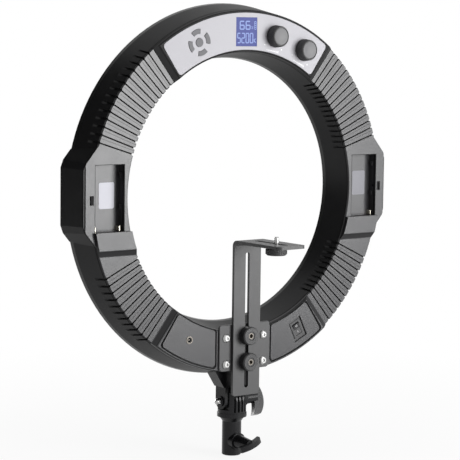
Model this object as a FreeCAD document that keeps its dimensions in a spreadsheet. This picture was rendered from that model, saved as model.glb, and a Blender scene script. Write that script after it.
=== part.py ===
import FreeCAD, Part
import math
import os
import re
import Sketcher
from FreeCAD import Placement, Rotation, Vector

# LED ring light on a tilting stand adapter, seen with its light facing -Y.
# The origin is the centre of the stand socket's mouth and +Z points up the stand.
# Ring parts are drawn about the ring's centre: X to the side, Y through the depth, Z up.

SIZES = {
    # Ring, measured on the rear housing, and its lift over the tilt joint
    "tilt_height": 74, "yoke_drop": 33.7, "ring_set_back": 5, "ring_depth": 46.5,
    "back_outer": 240, "back_inner": 184.5, "front_outer": 248.3, "front_inner": 176.1,
    "rim_bevel": 1.6, "bezel_depth": 6.25, "side_wall": 3, "back_wall": 4.5,
    "board_shoulder": 1, "board_setting": 32.25, "seam_step": 0.8,
    # Plateaus that stand proud of the ribbed back
    "plateau_rise": 5, "plateau_bevel": 1, "ramp_run": 8.7,
    "fascia_plateau_end": 38.2, "base_plateau_end": 37.9,
    "stop_top": -42, "stop_bottom": -73.5,
    # Ribs: grooves across the back and notches down both side walls
    "rib_pitch": 2.5, "groove_width": 1.9, "groove_depth": 2.5,
    "notch_width": 3.4, "notch_depth": 2.2, "notch_length": 20, "notch_fade": 6, "notch_start": 0.05,
    "notch_over": 4, "upper_ribs_from": 40.2, "upper_rib_count": 14, "lower_ribs_from": 115.0,
    "lower_rib_count": 11,
    # Battery housings at both sides
    "pod_side": 250.5, "pod_top": 42, "pod_bottom": -38.5, "pod_root": 226, "pod_top_root": 70.7,
    "pod_bottom_root": -66.9, "pod_bury": 20, "pod_draft": 6.75, "pod_corner": 4.5,
    "pod_corner_share": 0.13, "pod_ledge": 2.2, "pod_ledge_depth": 1.5, "pod_roof_wall": 7.5,
    "bay_margin": 16.5, "bay_width": 44, "bay_top": 43, "bay_depth": 12.5, "tray_wall": 1.8,
    "hook_reach": 2.4, "hook_length": 5.5, "hook_thickness": 3, "hook_depth": 9,
    "upper_hook": 26.8, "lower_hook": -13.9,
    "blade_inset": 2.6, "blade_thickness": 1.4, "blade_length": 6, "blade_height": 7, "blade_gap": 0.6,
    "latch_centre": -1, "latch_offset": 2.2, "latch_slot_width": 6, "latch_slot_length": 12,
    "latch_tab": 3.6, "latch_sink": 0.6, "latch_base": 2, "latch_base_reach": 8, "latch_margin": 3,
    "latch_nub": 3.2, "latch_nub_reach": 1, "latch_side_gap": 0.4,
    # Front trim, diffuser and light engine
    "bezel_wall": 4, "bezel_lip": 3.3, "lip_thickness": 1.85, "diffuser_thickness": 2.5,
    "board_thickness": 1.6, "led_side": 5, "led_height": 1.6, "led_ring_in": 198, "led_ring_out": 224,
    "led_count": 48,
    # Control fascia and its parts
    "fascia_thickness": 1.6, "fascia_margin": 3, "fascia_outer_margin": 3.8, "fascia_sweep": 70.4,
    "fascia_end_gap": 0.2, "fascia_end_ledge": 3, "fascia_corner": 5, "fascia_ledge": 2.4,
    "window_x": 1.5, "window_z": 211, "window_width": 35, "window_height": 38,
    "window_drop": 0.2, "module_margin": 1.5, "module_thickness": 5, "leg_radius": 1.2,
    "knob_radius": 14.6, "knob_taper": 1.2, "knob_height": 13, "knob_stand_off": 0.4, "knob_round": 1.2,
    "dish_radius": 11, "dish_depth": 0.7, "knob_ring": 210.5, "brightness_at": -12.8, "colour_at": -27.1,
    "spindle_radius": 3, "spindle_end": 8, "spindle_sink": 1, "encoder_side": 12,
    "encoder_height": 5, "control_board_end": 1.5,
    "keys_ring": 211.7, "keys_at": 21.7, "menu_radius": 5.75, "arc_in": 11.3, "arc_out": 17.4,
    "arc_sweep": 52, "key_proud": 0.7, "key_flange": 0.8, "key_flange_thickness": 1, "key_gap": 0.3,
    "key_travel": 0.5, "switch_side": 6, "switch_height": 3.5,
    # Inset panels at the bottom
    "panel_edge": 47, "panel_end": 145.4, "panel_in": 187.2, "panel_out": 234.8, "panel_thickness": 2.1,
    "panel_gap": 1.2, "panel_corner": 4, "panel_step": 1.2, "panel_step_depth": 0.9, "panel_sink": 0.1,
    "jack_ring": 209.6, "jack_at": 154.8, "jack_radius": 5, "jack_bore": 2.75, "jack_wall": 1.3,
    "jack_length": 18, "jack_bore_depth": 9.5, "jack_pin": 1, "jack_pin_sink": 1, "jack_proud": 0.5,
    "jack_core_sink": 0.2, "jack_clearance": 1.2,
    "rocker_ring": 212, "rocker_at": -153.9, "recess_width": 22.5, "recess_height": 30,
    "frame_sink": 2, "frame_depth": 16, "frame_rim": 3.2, "frame_rim_rise": 1,
    "rocker_width": 11, "rocker_length": 17, "rocker_gap": 0.25, "rocker_swing": 16, "rocker_pivot": 2.5,
    "rocker_valley": 0.5, "rocker_drop": 5.5, "power_board_sweep": 32, "power_board_margin": 2,
    # Mount plate, camera arm and thumb knobs
    "plate_half_width": 42, "plate_top": -174.5, "plate_bottom": -236.7, "plate_thickness": 2.6,
    "plate_corner": 6, "plate_bevel": 0.7, "mount_screw_x": 30.9, "upper_screw_z": -192.2,
    "lower_screw_z": -227.3, "mount_head": 5.7, "mount_head_edge": 1, "mount_head_shoulder": 2.4,
    "mount_head_height": 3, "mount_head_flat": 3.4, "mount_shank": 2.4, "mount_shank_length": 11,
    "mount_socket": 4, "mount_socket_depth": 1.6,
    "arm_half_width": 22.25, "arm_thickness": 4.2, "arm_bottom": -270.5, "arm_top": -62, "arm_reach": 129,
    "arm_bend": 4, "arm_corner": 4, "shelf_corner": 6, "slot_width": 6.5, "slot_top": -79,
    "slot_bottom": -260.4, "shelf_slot_start": 52, "shelf_slot_end": 116, "shelf_slot_width": 7,
    "upper_knob_z": -190, "lower_knob_z": -225, "clamp_knob": 12.25, "clamp_knob_height": 10.6,
    "clamp_round": 1.4, "insert_radius": 4, "insert_dish": 5.2, "insert_dish_depth": 0.8,
    "hex_socket": 5.2, "hex_depth": 4, "clamp_stud": 3, "clamp_stud_depth": 9,
    "camera_y": 95, "washer_radius": 9, "washer_thickness": 1, "camera_knob": 13.5,
    "camera_knob_height": 9.4, "camera_stud": 3.175, "camera_stud_proud": 9, "camera_stud_bevel": 0.6,
    "camera_neck": 2.6, "camera_neck_proud": 0.4,
    # Tilt joint
    "ear_half_width": 10.7, "ear_outer": 19.6, "ear_thickness": 5, "saddle_rise": 20, "saddle_bite": 10,
    "saddle_top_half": 37, "saddle_low_half": 22, "saddle_top_depth": 11, "saddle_low_depth": 10.7,
    "tilt_bolt": 2.5, "nut_flats": 8, "nut_height": 4, "dome_radius": 3.68, "dome_shoulder": 1.2,
    "dome_cap": 2, "dome_cap_height": 2.7, "dome_height": 3.4, "tilt_washer": 7,
    "tilt_washer_thickness": 1.5, "tilt_wing_hub": 8.5, "tilt_wing_grip": 5, "tilt_wing_root": 14.4,
    "tilt_wing_end": 30.4, "tilt_wing_span": 24.5, "tilt_wing_bow": 11, "tilt_wing_hollow": 7,
    "tilt_wing_thickness": 8, "tilt_wing_turn": 25,
    # Stand adapter, origin at the socket mouth
    "tube_radius": 13, "socket_radius": 8.05, "socket_depth": 44, "flange_drop": 21.7, "neck_length": 6.3,
    "collar_flange": 20, "flange_lip": 2.5, "flange_height": 5.4, "collar_radius": 19.2,
    "tongue_radius": 18.4, "flute_width": 2.8, "flute_pitch": 5.6, "flute_floor": 15.6, "flute_lift": 1.9,
    "lock_height": 19.5, "boss_radius": 11.6, "boss_reach": 15.5,
    "lock_stud": 4, "lock_stud_start": 8.7, "lock_hub_base": 9.5, "lock_hub_tip": 6.5, "lock_hub_start": 15.8,
    "lock_wing_root": 39.5, "lock_wing_end": 47.5, "lock_wing_span": 17, "lock_wing_bow": 5,
    "lock_wing_hollow": 3, "lock_wing_thickness": 8, "lock_wing_turn": 19, "lock_grip": 2,
    # Clearances, and how far a cut runs past the material that it leaves
    "seat_gap": 0.1, "slide_gap": 0.15, "shaft_gap": 0.07, "moving_gap": 0.3, "trim_gap": 0.25, "overcut": 1,
}

doc = FreeCAD.newDocument("RingLight")
sheet = doc.addObject("Spreadsheet::Sheet", "Sizes")
for row, (alias, number) in enumerate(SIZES.items(), 1):
    sheet.set(f"A{row}", alias)
    sheet.set(f"B{row}", str(number))
    sheet.setAlias(f"B{row}", alias)
doc.recompute()


def bound(text):
    """The expression with every size name pointing at the spreadsheet."""
    return re.sub(r"[a-z_]\w*", lambda m: "Sizes." + m.group() if m.group() in SIZES else m.group(), text)


def value(text):
    """The number that an expression has now."""
    return float(sheet.evalExpression(bound(text)))


def sine(angle):
    return f"sin(({angle}) * 1deg)"


def cosine(angle):
    return f"cos(({angle}) * 1deg)"


def polar_x(radius, angle):
    return f"({radius}) * {sine(angle)}"


def polar_z(radius, angle):
    return f"({radius}) * {cosine(angle)}"


# Planes: on "face" a drawing has X and Z, on "side" Y and Z, on "top" X and Y
PLANES = {"face": "XZ_Plane", "side": "YZ_Plane", "top": "XY_Plane"}
# A placement keeps its axis only while its angle isn't zero, so a turned one starts from this angle
FIRST_TURN = 30


class Drawing:
    """A sketch whose points and radii are all bound to the sheet."""

    def __init__(self, piece, plane, lift, turn=None):
        self.sketch = piece.body.newObject("Sketcher::SketchObject", "Sketch")
        self.sketch.AttachmentSupport = (piece.origin(PLANES[plane]), [""])
        self.sketch.MapMode = "FlatFace"
        if turn is None:
            sign = "-" if plane == "face" else ""
            self.sketch.setExpression("AttachmentOffset.Base.z", bound(f"{sign}({lift})"))
        elif plane == "side":
            # This drawing is swung round the ring's axis to a radial plane
            self.sketch.AttachmentOffset = Placement(Vector(), Rotation(Vector(1, 0, 0), FIRST_TURN))
            self.sketch.setExpression("AttachmentOffset.Rotation.Angle", bound(turn))
        else:
            # This drawing faces inwards along the radius, at a distance from the ring's axis
            self.sketch.AttachmentOffset = Placement(Vector(), Rotation(Vector(0, 1, 0), FIRST_TURN))
            self.sketch.setExpression("AttachmentOffset.Rotation.Angle", bound(f"{turn} + 180"))
            self.sketch.setExpression("AttachmentOffset.Base.x", bound(polar_x(lift, turn)))
            self.sketch.setExpression("AttachmentOffset.Base.z", bound(polar_z(lift, turn)))

    def bind(self, kind, *arguments, size):
        constraint = Sketcher.Constraint(kind, *arguments, value(size))
        index = self.sketch.addConstraint(constraint)
        self.sketch.setExpression(f"Constraints[{index}]", bound(size))

    def place(self, geometry, point, x=None, y=None):
        if x is not None:
            self.bind("DistanceX", -1, 1, geometry, point, size=x)
        if y is not None:
            self.bind("DistanceY", -1, 1, geometry, point, size=y)

    def circle(self, x, y, radius):
        centre = Vector(value(x), value(y), 0)
        index = self.sketch.addGeometry(Part.Circle(centre, Vector(0, 0, 1), value(radius)))
        self.bind("Radius", index, size=radius)
        self.place(index, 3, x, y)

    def polygon(self, points):
        corners = [Vector(value(x), value(y), 0) for x, y in points]
        lines = []
        for start, end in zip(corners, corners[1:] + corners[:1]):
            lines.append(self.sketch.addGeometry(Part.LineSegment(start, end)))
        for line, following in zip(lines, lines[1:] + lines[:1]):
            self.sketch.addConstraint(Sketcher.Constraint("Coincident", line, 2, following, 1))
        for line, (x, y) in zip(lines, points):
            self.place(line, 1, x, y)

    def band(self, inner, outer, start, end, x="0", y="0"):
        """A stretch of ring about x, y. Its ends are angles from +Y towards +X, or an X or Y place."""
        centre = Vector(value(x), value(y), 0)
        arcs = []
        for radius in (outer, inner):
            angles = [self.compass(limit, radius, centre) for limit in (start, end)]
            circle = Part.Circle(centre, Vector(0, 0, 1), value(radius))
            low, high = sorted(math.radians(90 - angle) for angle in angles)
            arc = self.sketch.addGeometry(Part.ArcOfCircle(circle, low, high))
            self.bind("Radius", arc, size=radius)
            arcs.append(arc)
            first_is_start = angles[0] > angles[1]
            points = (1, 2) if first_is_start else (2, 1)
            for point, limit, angle in zip(points, (start, end), angles):
                self.hold(arc, point, limit, angle, radius, x, y)
        self.place(arcs[0], 3, x, y)
        self.sketch.addConstraint(Sketcher.Constraint("Coincident", arcs[0], 3, arcs[1], 3))
        for point in (1, 2):
            a, b = (self.sketch.getPoint(arc, point) for arc in arcs)
            line = self.sketch.addGeometry(Part.LineSegment(a, b))
            self.sketch.addConstraint(Sketcher.Constraint("Coincident", arcs[0], point, line, 1))
            self.sketch.addConstraint(Sketcher.Constraint("Coincident", arcs[1], point, line, 2))

    @staticmethod
    def compass(limit, radius, centre):
        """The angle, clockwise from +Y, at which a limit meets an arc."""
        if isinstance(limit, str):
            return value(limit)
        axis, place, low_half = limit
        if axis == "x":
            angle = math.degrees(math.asin((value(place) - centre.x) / value(radius)))
            return 180 - angle if low_half else angle
        angle = math.degrees(math.acos((value(place) - centre.y) / value(radius)))
        return -angle if low_half else angle

    def hold(self, arc, point, limit, angle, radius, x, y):
        """Hold one end of an arc by the coordinate that its turning changes most."""
        if not isinstance(limit, str):
            axis, place, _ = limit
            self.place(arc, point, **{axis: place})
        elif abs(math.cos(math.radians(angle))) >= math.sqrt(0.5):
            self.place(arc, point, x=f"{x} + {polar_x(radius, limit)}")
        else:
            self.place(arc, point, y=f"{y} + {polar_z(radius, limit)}")

    def slot(self, x, low, high, width):
        """An upright slot with round ends, from low to high."""
        half = value(width) / 2
        centre = value(x)
        tops = [Vector(centre, value(high) - half, 0), Vector(centre, value(low) + half, 0)]
        up = Part.Circle(tops[0], Vector(0, 0, 1), half)
        down = Part.Circle(tops[1], Vector(0, 0, 1), half)
        upper = self.sketch.addGeometry(Part.ArcOfCircle(up, 0, math.pi))
        lower = self.sketch.addGeometry(Part.ArcOfCircle(down, math.pi, 2 * math.pi))
        shift = Vector(half, 0, 0)
        left = self.sketch.addGeometry(Part.LineSegment(tops[0] - shift, tops[1] - shift))
        right = self.sketch.addGeometry(Part.LineSegment(tops[1] + shift, tops[0] + shift))
        for first, end, second, start in ((upper, 2, left, 1), (left, 2, lower, 1),
                                          (lower, 2, right, 1), (right, 2, upper, 1)):
            self.sketch.addConstraint(Sketcher.Constraint("Tangent", first, end, second, start))
        self.sketch.addConstraint(Sketcher.Constraint("Equal", upper, lower))
        self.place(upper, 3, x, f"({high}) - ({width}) / 2")
        self.place(lower, 3, None, f"({low}) + ({width}) / 2")
        self.bind("Radius", upper, size=f"({width}) / 2")


def circle(x, y, radius):
    return lambda drawing: drawing.circle(x, y, radius)


def polygon(*points):
    return lambda drawing: drawing.polygon(points)


def rectangle(left, right, low, high):
    return polygon((left, low), (right, low), (right, high), (left, high))


def slot(x, low, high, width):
    return lambda drawing: drawing.slot(x, low, high, width)


def band(inner, outer, start, end, x="0", y="0"):
    return lambda drawing: drawing.band(inner, outer, start, end, x, y)


def hexagon(x, y, flats):
    """A hexagon with the given width across its flats."""
    corner = f"({flats}) / 2 / {cosine('30')}"
    return polygon(*[(f"{x} + {polar_x(corner, str(turn))}", f"{y} + {polar_z(corner, str(turn))}")
                     for turn in range(0, 360, 60)])


def turned_rectangle(ring, angle, width, height):
    """A rectangle on the ring's face whose height runs along the radius."""
    corners = []
    for across, along in ((-1, -1), (1, -1), (1, 1), (-1, 1)):
        reach = f"({ring} + {along} * ({height}) / 2)"
        step = f"({across} * ({width}) / 2)"
        corners.append((f"{reach} * {sine(angle)} + {step} * {cosine(angle)}",
                        f"{reach} * {cosine(angle)} - {step} * {sine(angle)}"))
    return polygon(*corners)


class Piece:
    """One solid piece of the product, drawn on its own origin planes."""

    def __init__(self, label, x="0", y="0", z="0", turn=None, about=Vector(0, 1, 0), several=False):
        self.body = doc.addObject("PartDesign::Body", label)
        self.body.Label = label
        self.body.AllowCompound = several
        if turn is not None:
            self.body.Placement = Placement(Vector(), Rotation(about, FIRST_TURN))
            self.body.setExpression("Placement.Rotation.Angle", bound(turn))
        for axis, place in (("x", x), ("y", y), ("z", z)):
            self.body.setExpression(f"Placement.Base.{axis}", bound(place))
        doc.recompute()

    def origin(self, role):
        return next(item for item in self.body.Origin.OriginFeatures if item.Role == role)

    def draw(self, plane, lift, shapes, turn=None):
        drawing = Drawing(self, plane, lift, turn)
        for shape in shapes:
            shape(drawing)
        return drawing.sketch

    def feature(self, kind, sketch, **bindings):
        before = self.volume()
        made = self.body.newObject(f"PartDesign::{kind}", kind)
        made.Profile = sketch
        made.Refine = False
        for name, size in bindings.items():
            made.setExpression(name, bound(size))
        return made, before

    def finish(self, made, before, grows):
        doc.recompute()
        change = self.volume() - before
        if (change > 0) != grows or abs(change) < 1e-3:
            raise RuntimeError(f"{self.body.Label}: {made.Name} changed the volume by {change:.3f}")
        return made

    def volume(self):
        shape = self.body.Shape
        return 0.0 if shape.isNull() else shape.Volume

    def pad(self, plane, low, high, *shapes, taper=None):
        """Material between two levels. A taper widens it away from the higher level on "face"."""
        sketch = self.draw(plane, high if plane == "face" else low, shapes)
        made, before = self.feature("Pad", sketch, Length=f"({high}) - ({low})")
        if taper:
            made.setExpression("TaperAngle", bound(taper))
        return self.finish(made, before, True)

    def pocket(self, plane, low, high, *shapes):
        sketch = self.draw(plane, low if plane == "face" else high, shapes)
        made, before = self.feature("Pocket", sketch, Length=f"({high}) - ({low})")
        return self.finish(made, before, False)

    def revolve(self, plane, axis, *shapes, sweep=None):
        made, before = self.feature("Revolution", self.draw(plane, "0", shapes))
        return self.turn_profile(made, axis, sweep, before, True)

    def groove(self, plane, axis, *shapes, sweep=None):
        made, before = self.feature("Groove", self.draw(plane, "0", shapes))
        return self.turn_profile(made, axis, sweep, before, False)

    def turn_profile(self, made, axis, sweep, before, grows):
        made.ReferenceAxis = (made.Profile[0], [axis])
        if sweep:
            made.Midplane = True
            made.setExpression("Angle", bound(sweep))
        else:
            made.Angle = 360
        return self.finish(made, before, grows)

    def outwards(self, kind, angle, *shapes):
        """Pad or pocket from inside the ring to outside it, along the radius at an angle."""
        sketch = self.draw("top", "front_inner - ramp_run", shapes, turn=angle)
        made, before = self.feature(kind, sketch, Length="front_outer - front_inner + 2 * ramp_run")
        made.Reversed = kind == "Pad"
        return self.finish(made, before, kind == "Pad")

    def across(self, kind, angle, width, *shapes):
        """Pad or pocket of a given width, centred on the radial plane at an angle."""
        sketch = self.draw("side", "0", shapes, turn=angle)
        made, before = self.feature(kind, sketch, Length=width)
        made.Midplane = True
        return self.finish(made, before, kind == "Pad")

    def repeat_round(self, features, count, pitch, reverse=False):
        """Repeat features about the ring's axis."""
        before = self.volume()
        pattern = self.body.newObject("PartDesign::PolarPattern", "PolarPattern")
        pattern.Originals = features
        pattern.Axis = (self.origin("Y_Axis"), [""])
        pattern.Mode = "Spacing"
        pattern.Reversed = reverse
        pattern.Refine = False
        pattern.setExpression("Offset", bound(pitch))
        pattern.setExpression("Occurrences", bound(count))
        self.body.Tip = pattern
        return self.finish(pattern, before, features[0].TypeId != "PartDesign::Pocket")

    def dress(self, kind, test, **sizes):
        """Fillet or chamfer the edges of the last feature that a test picks."""
        tip = self.body.Tip
        before = self.volume()
        names = [f"Edge{n}" for n, edge in enumerate(tip.Shape.Edges, 1) if test(edge)]
        if not names:
            raise RuntimeError(f"{self.body.Label}: no edge for the {kind}")
        made = self.body.newObject(f"PartDesign::{kind}", kind)
        made.Base = (tip, names)
        for name, size in sizes.items():
            made.setExpression(name, bound(size))
        doc.recompute()
        if abs(self.volume() - before) < 1e-6:
            raise RuntimeError(f"{self.body.Label}: the {kind} changed nothing")
        return made


def along(axis):
    """A test for straight edges that run along X, Y or Z."""
    direction = {"x": Vector(1, 0, 0), "y": Vector(0, 1, 0), "z": Vector(0, 0, 1)}[axis]

    def test(edge):
        if edge.Curve.TypeId != "Part::GeomLine":
            return False
        return abs(abs(edge.tangentAt(edge.FirstParameter).dot(direction)) - 1) < 1e-6
    return test


def near(coordinate, place, tolerance=0.05):
    """A test for edges that lie wholly at one X, Y or Z."""
    level = value(place)
    return lambda edge: all(abs(getattr(v.Point, coordinate) - level) < tolerance for v in edge.Vertexes)


def both(*tests):
    return lambda edge: all(test(edge) for test in tests)


# Levels through the ring's depth, and the ring's drafted walls at a level
BACK = "ring_depth / 2"
FRONT = "-ring_depth / 2"
SEAM = f"({FRONT} + bezel_depth)"
CEILING = f"({BACK} - back_wall)"
TOP = f"({BACK} + plateau_rise)"
BOARD = f"({BACK} - board_setting)"
RING_Z = "(tilt_height + yoke_drop + front_outer)"
RING = {"y": "-ring_set_back", "z": RING_Z}


def outer_wall(level):
    return f"(back_outer + (front_outer - back_outer) * ({BACK} - ({level})) / ring_depth)"


def inner_wall(level):
    return f"(back_inner - (back_inner - front_inner) * ({BACK} - ({level})) / ring_depth)"


def on_ring(radius, angle, level="0"):
    """Place and turn a piece on the ring, its own Z axis pointing outwards along the radius."""
    return {"x": polar_x(radius, angle), "y": f"{level} - ring_set_back",
            "z": f"{RING_Z} + {polar_z(radius, angle)}", "turn": angle}


# Rear housing: a drafted moulded ring with raised plateaus, ribs and two battery pods
LOW_BACK = f"({BACK} - rim_bevel)"
housing = Piece("housing_blank", **RING)
housing.revolve("top", "V_Axis", polygon(
    (inner_wall(SEAM), SEAM), (inner_wall(LOW_BACK), LOW_BACK), (f"{inner_wall(BACK)} + rim_bevel", BACK),
    (f"{outer_wall(BACK)} - rim_bevel", BACK), (outer_wall(LOW_BACK), LOW_BACK), (outer_wall(SEAM), SEAM)))
SLOPE = "(pod_side - (pod_side - pod_root) * pod_corner_share)"
for side in ("", "-"):
    housing.pad("face", FRONT, BACK, polygon(
        (f"{side}(pod_root - pod_bury)", "pod_top_root"), (f"{side}pod_root", "pod_top_root"),
        (f"{side}{SLOPE}", "pod_top + (pod_top_root - pod_top) * pod_corner_share"),
        (f"{side}pod_side", "pod_top - pod_corner"), (f"{side}pod_side", "pod_bottom + pod_corner"),
        (f"{side}{SLOPE}", "pod_bottom + (pod_bottom_root - pod_bottom) * pod_corner_share"),
        (f"{side}pod_root", "pod_bottom_root"), (f"{side}(pod_root - pod_bury)", "pod_bottom_root")),
        taper="pod_draft")
# The front trim ring sits in this recess
housing.groove("top", "V_Axis", rectangle(
    "front_inner - overcut", "front_outer + trim_gap", f"{FRONT} - overcut", SEAM))

# Plateaus at the top, at the bottom and below each battery bay
RAISED = f"({TOP} - plateau_bevel)"
for sign, end in (("", "fascia_plateau_end"), ("-", "base_plateau_end")):
    housing.revolve("side", "H_Axis", polygon(
        (LOW_BACK, f"{sign}{inner_wall(LOW_BACK)}"), (RAISED, f"{sign}{inner_wall(RAISED)}"),
        (TOP, f"{sign}({inner_wall(TOP)} + plateau_bevel)"),
        (TOP, f"{sign}({outer_wall(TOP)} - plateau_bevel)"),
        (RAISED, f"{sign}{outer_wall(RAISED)}"), (LOW_BACK, f"{sign}{outer_wall(LOW_BACK)}")),
        sweep=f"2 * {end}")
for low_half in (False, True):
    housing.pad("face", LOW_BACK, TOP, band(
        inner_wall(TOP), outer_wall(TOP), ("y", "stop_top", low_half), ("y", "stop_bottom", low_half)))
ABOVE = f"({TOP} + overcut)"
for angle, run, clear in (("fascia_plateau_end", "ramp_run", "-2 * overcut"),
                          ("-fascia_plateau_end", "-ramp_run", "2 * overcut"),
                          ("180 - base_plateau_end", "-ramp_run", "2 * overcut"),
                          ("180 + base_plateau_end", "ramp_run", "-2 * overcut")):
    housing.outwards("Pocket", angle, polygon(
        ("0", BACK), (run, TOP), (run, ABOVE), (clear, ABOVE), (clear, BACK)))
housing.pocket("side", "-pod_side", "pod_side", polygon(
    (BACK, "stop_bottom"), (TOP, "stop_bottom + ramp_run"), (ABOVE, "stop_bottom + ramp_run"),
    (ABOVE, "stop_bottom - 2 * overcut"), (BACK, "stop_bottom - 2 * overcut")))

# The hollow inside, with a shoulder that the light board seats on, and the battery bays
WELL = f"({CEILING} - overcut)"
BAY_OUT = "(pod_side - bay_margin)"
BAY_IN = f"({BAY_OUT} - bay_width)"
LATCH = f"({BAY_OUT} + latch_offset)"
housing.groove("top", "V_Axis", polygon(
    (f"{inner_wall(SEAM)} + side_wall", f"{SEAM} - overcut"), (f"{inner_wall(BOARD)} + side_wall", BOARD),
    (f"{inner_wall(BOARD)} + side_wall + board_shoulder", BOARD),
    (f"{inner_wall(CEILING)} + side_wall + board_shoulder", CEILING),
    (f"{outer_wall(CEILING)} - side_wall - board_shoulder", CEILING),
    (f"{outer_wall(BOARD)} - side_wall - board_shoulder", BOARD),
    (f"{outer_wall(BOARD)} - side_wall", BOARD), (f"{outer_wall(SEAM)} - side_wall", f"{SEAM} - overcut")))
for side in ("", "-"):
    housing.pocket("face", SEAM, CEILING, polygon(
        (f"{side}(pod_root - 2 * side_wall)", "pod_top_root - pod_roof_wall"),
        (f"{side}(pod_side - side_wall)", "pod_top - side_wall"),
        (f"{side}(pod_side - side_wall)", "pod_bottom + side_wall"),
        (f"{side}(pod_root - 2 * side_wall)", "pod_bottom_root + pod_roof_wall")))
    housing.pocket("face", WELL, ABOVE, rectangle(
        f"{side}{BAY_IN}", f"{side}{BAY_OUT}", "stop_top", "bay_top"))
    slot_edges = [f"{side}{LATCH}", f"{side}({LATCH} + latch_slot_width)"]
    housing.pocket("face", WELL, f"{BACK} + overcut", rectangle(
        *slot_edges, "latch_centre - latch_slot_length / 2", "latch_centre + latch_slot_length / 2"))
    ledge = [f"{side}(pod_side - pod_ledge)", f"{side}(pod_side + overcut)"]
    housing.pocket("face", f"{BACK} - pod_ledge_depth", f"{BACK} + overcut", rectangle(
        *ledge, "pod_bottom", "pod_top"))

# Well behind the control fascia
FASCIA_IN = "(back_inner + fascia_margin)"
FASCIA_OUT = "(back_outer - fascia_outer_margin)"
housing.groove("side", "H_Axis", rectangle(
    WELL, ABOVE, f"{FASCIA_IN} + fascia_ledge", f"{FASCIA_OUT} - fascia_ledge"),
    sweep="fascia_sweep - 2 * fascia_end_ledge")

# Wells behind the inset panels
PANEL_FLOOR = f"({TOP} - panel_sink - panel_thickness)"
PANEL_SIDES = {"jack": ("panel_edge", "panel_end", 1), "switch": ("-panel_edge", "(360 - panel_end)", -1)}


def panel_outline(side, grow="0"):
    """The outline of an inset panel, or of its seat if it grows."""
    edge, end, sign = PANEL_SIDES[side]
    turn = f"({grow}) / panel_in * 180 / pi"
    return band(f"panel_in - ({grow})", f"panel_out + ({grow})", ("x", f"{edge} - {sign} * ({grow})", True),
                f"{end} - {sign} * {turn}")


JACK_AT = [polar_x("jack_ring", "jack_at"), polar_z("jack_ring", "jack_at")]
housing.pocket("face", WELL, ABOVE, circle(*JACK_AT, "jack_radius + jack_clearance"))
housing.pocket("face", WELL, ABOVE, turned_rectangle(
    "rocker_ring", "rocker_at", "recess_width + 2 * trim_gap", "recess_height + 2 * trim_gap"))

# Screw holes behind the mount plate
SCREWS = {
    "upper_left": ("mount_screw_x", "upper_screw_z"), "upper_right": ("-mount_screw_x", "upper_screw_z"),
    "lower_left": ("mount_screw_x", "lower_screw_z"), "lower_right": ("-mount_screw_x", "lower_screw_z"),
}
STUDS = [("0", "upper_knob_z"), ("0", "lower_knob_z")]
housing.pocket("face", WELL, ABOVE,
               *[circle(x, z, "mount_shank + moving_gap") for x, z in SCREWS.values()],
               *[circle(x, z, "clamp_stud + moving_gap") for x, z in STUDS])

# Seats for the control fascia and for the inset panels, whose edge is stepped, with round corners
FASCIA_FLOOR = f"({TOP} - fascia_thickness - seat_gap)"
cutters = Piece("housing_cutters", **RING, several=True)
cutters.pad("face", FASCIA_FLOOR, ABOVE, band(
    FASCIA_IN, FASCIA_OUT, "-fascia_sweep / 2 - fascia_end_gap", "fascia_sweep / 2 + fascia_end_gap"))
for side in PANEL_SIDES:
    for grow, floor in (("panel_gap", PANEL_FLOOR), ("panel_gap + panel_step", f"{TOP} - panel_step_depth")):
        cutters.pad("face", floor, ABOVE, panel_outline(side, grow))
cutters.dress("Fillet", along("y"), Radius="fascia_corner")

# Ribs: each groove crosses the back, and its notches run down the outer and inner walls
OVER_BACK = f"({BACK} + overcut)"
LAST = f"({BACK} - notch_length)"
DEEP = f"({BACK} - notch_length + notch_fade)"
GROOVE = rectangle("-groove_width / 2", "groove_width / 2", f"{BACK} - groove_depth", OVER_BACK)
NOTCHES = [
    polygon((LAST, f"{wall(LAST)} {out} notch_start"), (DEEP, f"{wall(DEEP)} {into} notch_depth"),
            (OVER_BACK, f"{wall(BACK)} {into} notch_depth"), (OVER_BACK, f"{wall(LAST)} {out} notch_over"),
            (LAST, f"{wall(LAST)} {out} notch_over"))
    for wall, out, into in ((outer_wall, "+", "-"), (inner_wall, "-", "+"))]
for first, count in (("upper_ribs_from", "upper_rib_count"), ("lower_ribs_from", "lower_rib_count")):
    for angle, reverse in ((first, False), (f"-{first}", True)):
        groove = cutters.outwards("Pad", angle, GROOVE)
        notch = cutters.across("Pad", angle, "notch_width", *NOTCHES)
        cutters.repeat_round([groove, notch], count, "rib_pitch", reverse)
ribbed = doc.addObject("Part::Cut", "rear_housing")
ribbed.Base = housing.body
ribbed.Tool = cutters.body
doc.recompute()

# Trim rings at the front, the diffuser that they hold and the light engine behind it
LIP = f"({FRONT} + lip_thickness)"
for label, edge, sign in (("outer_bezel", "front_outer", "-"), ("inner_bezel", "front_inner", "+")):
    wall = outer_wall if sign == "-" else inner_wall
    bezel = Piece(label, **RING)
    bezel.revolve("top", "V_Axis", polygon(
        (f"{edge} {sign} seam_step", FRONT), (edge, f"{FRONT} + seam_step"),
        (wall(f"{SEAM} - seat_gap"), f"{SEAM} - seat_gap"),
        (f"{edge} {sign} bezel_wall", f"{SEAM} - seat_gap"),
        (f"{edge} {sign} bezel_wall", LIP), (f"{edge} {sign} (bezel_wall + bezel_lip)", LIP),
        (f"{edge} {sign} (bezel_wall + bezel_lip)", FRONT)))
diffuser = Piece("diffuser", **RING)
diffuser.revolve("top", "V_Axis", rectangle(
    "front_inner + bezel_wall + trim_gap", "front_outer - bezel_wall - trim_gap",
    f"{LIP} + seat_gap", f"{LIP} + seat_gap + diffuser_thickness"))

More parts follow.
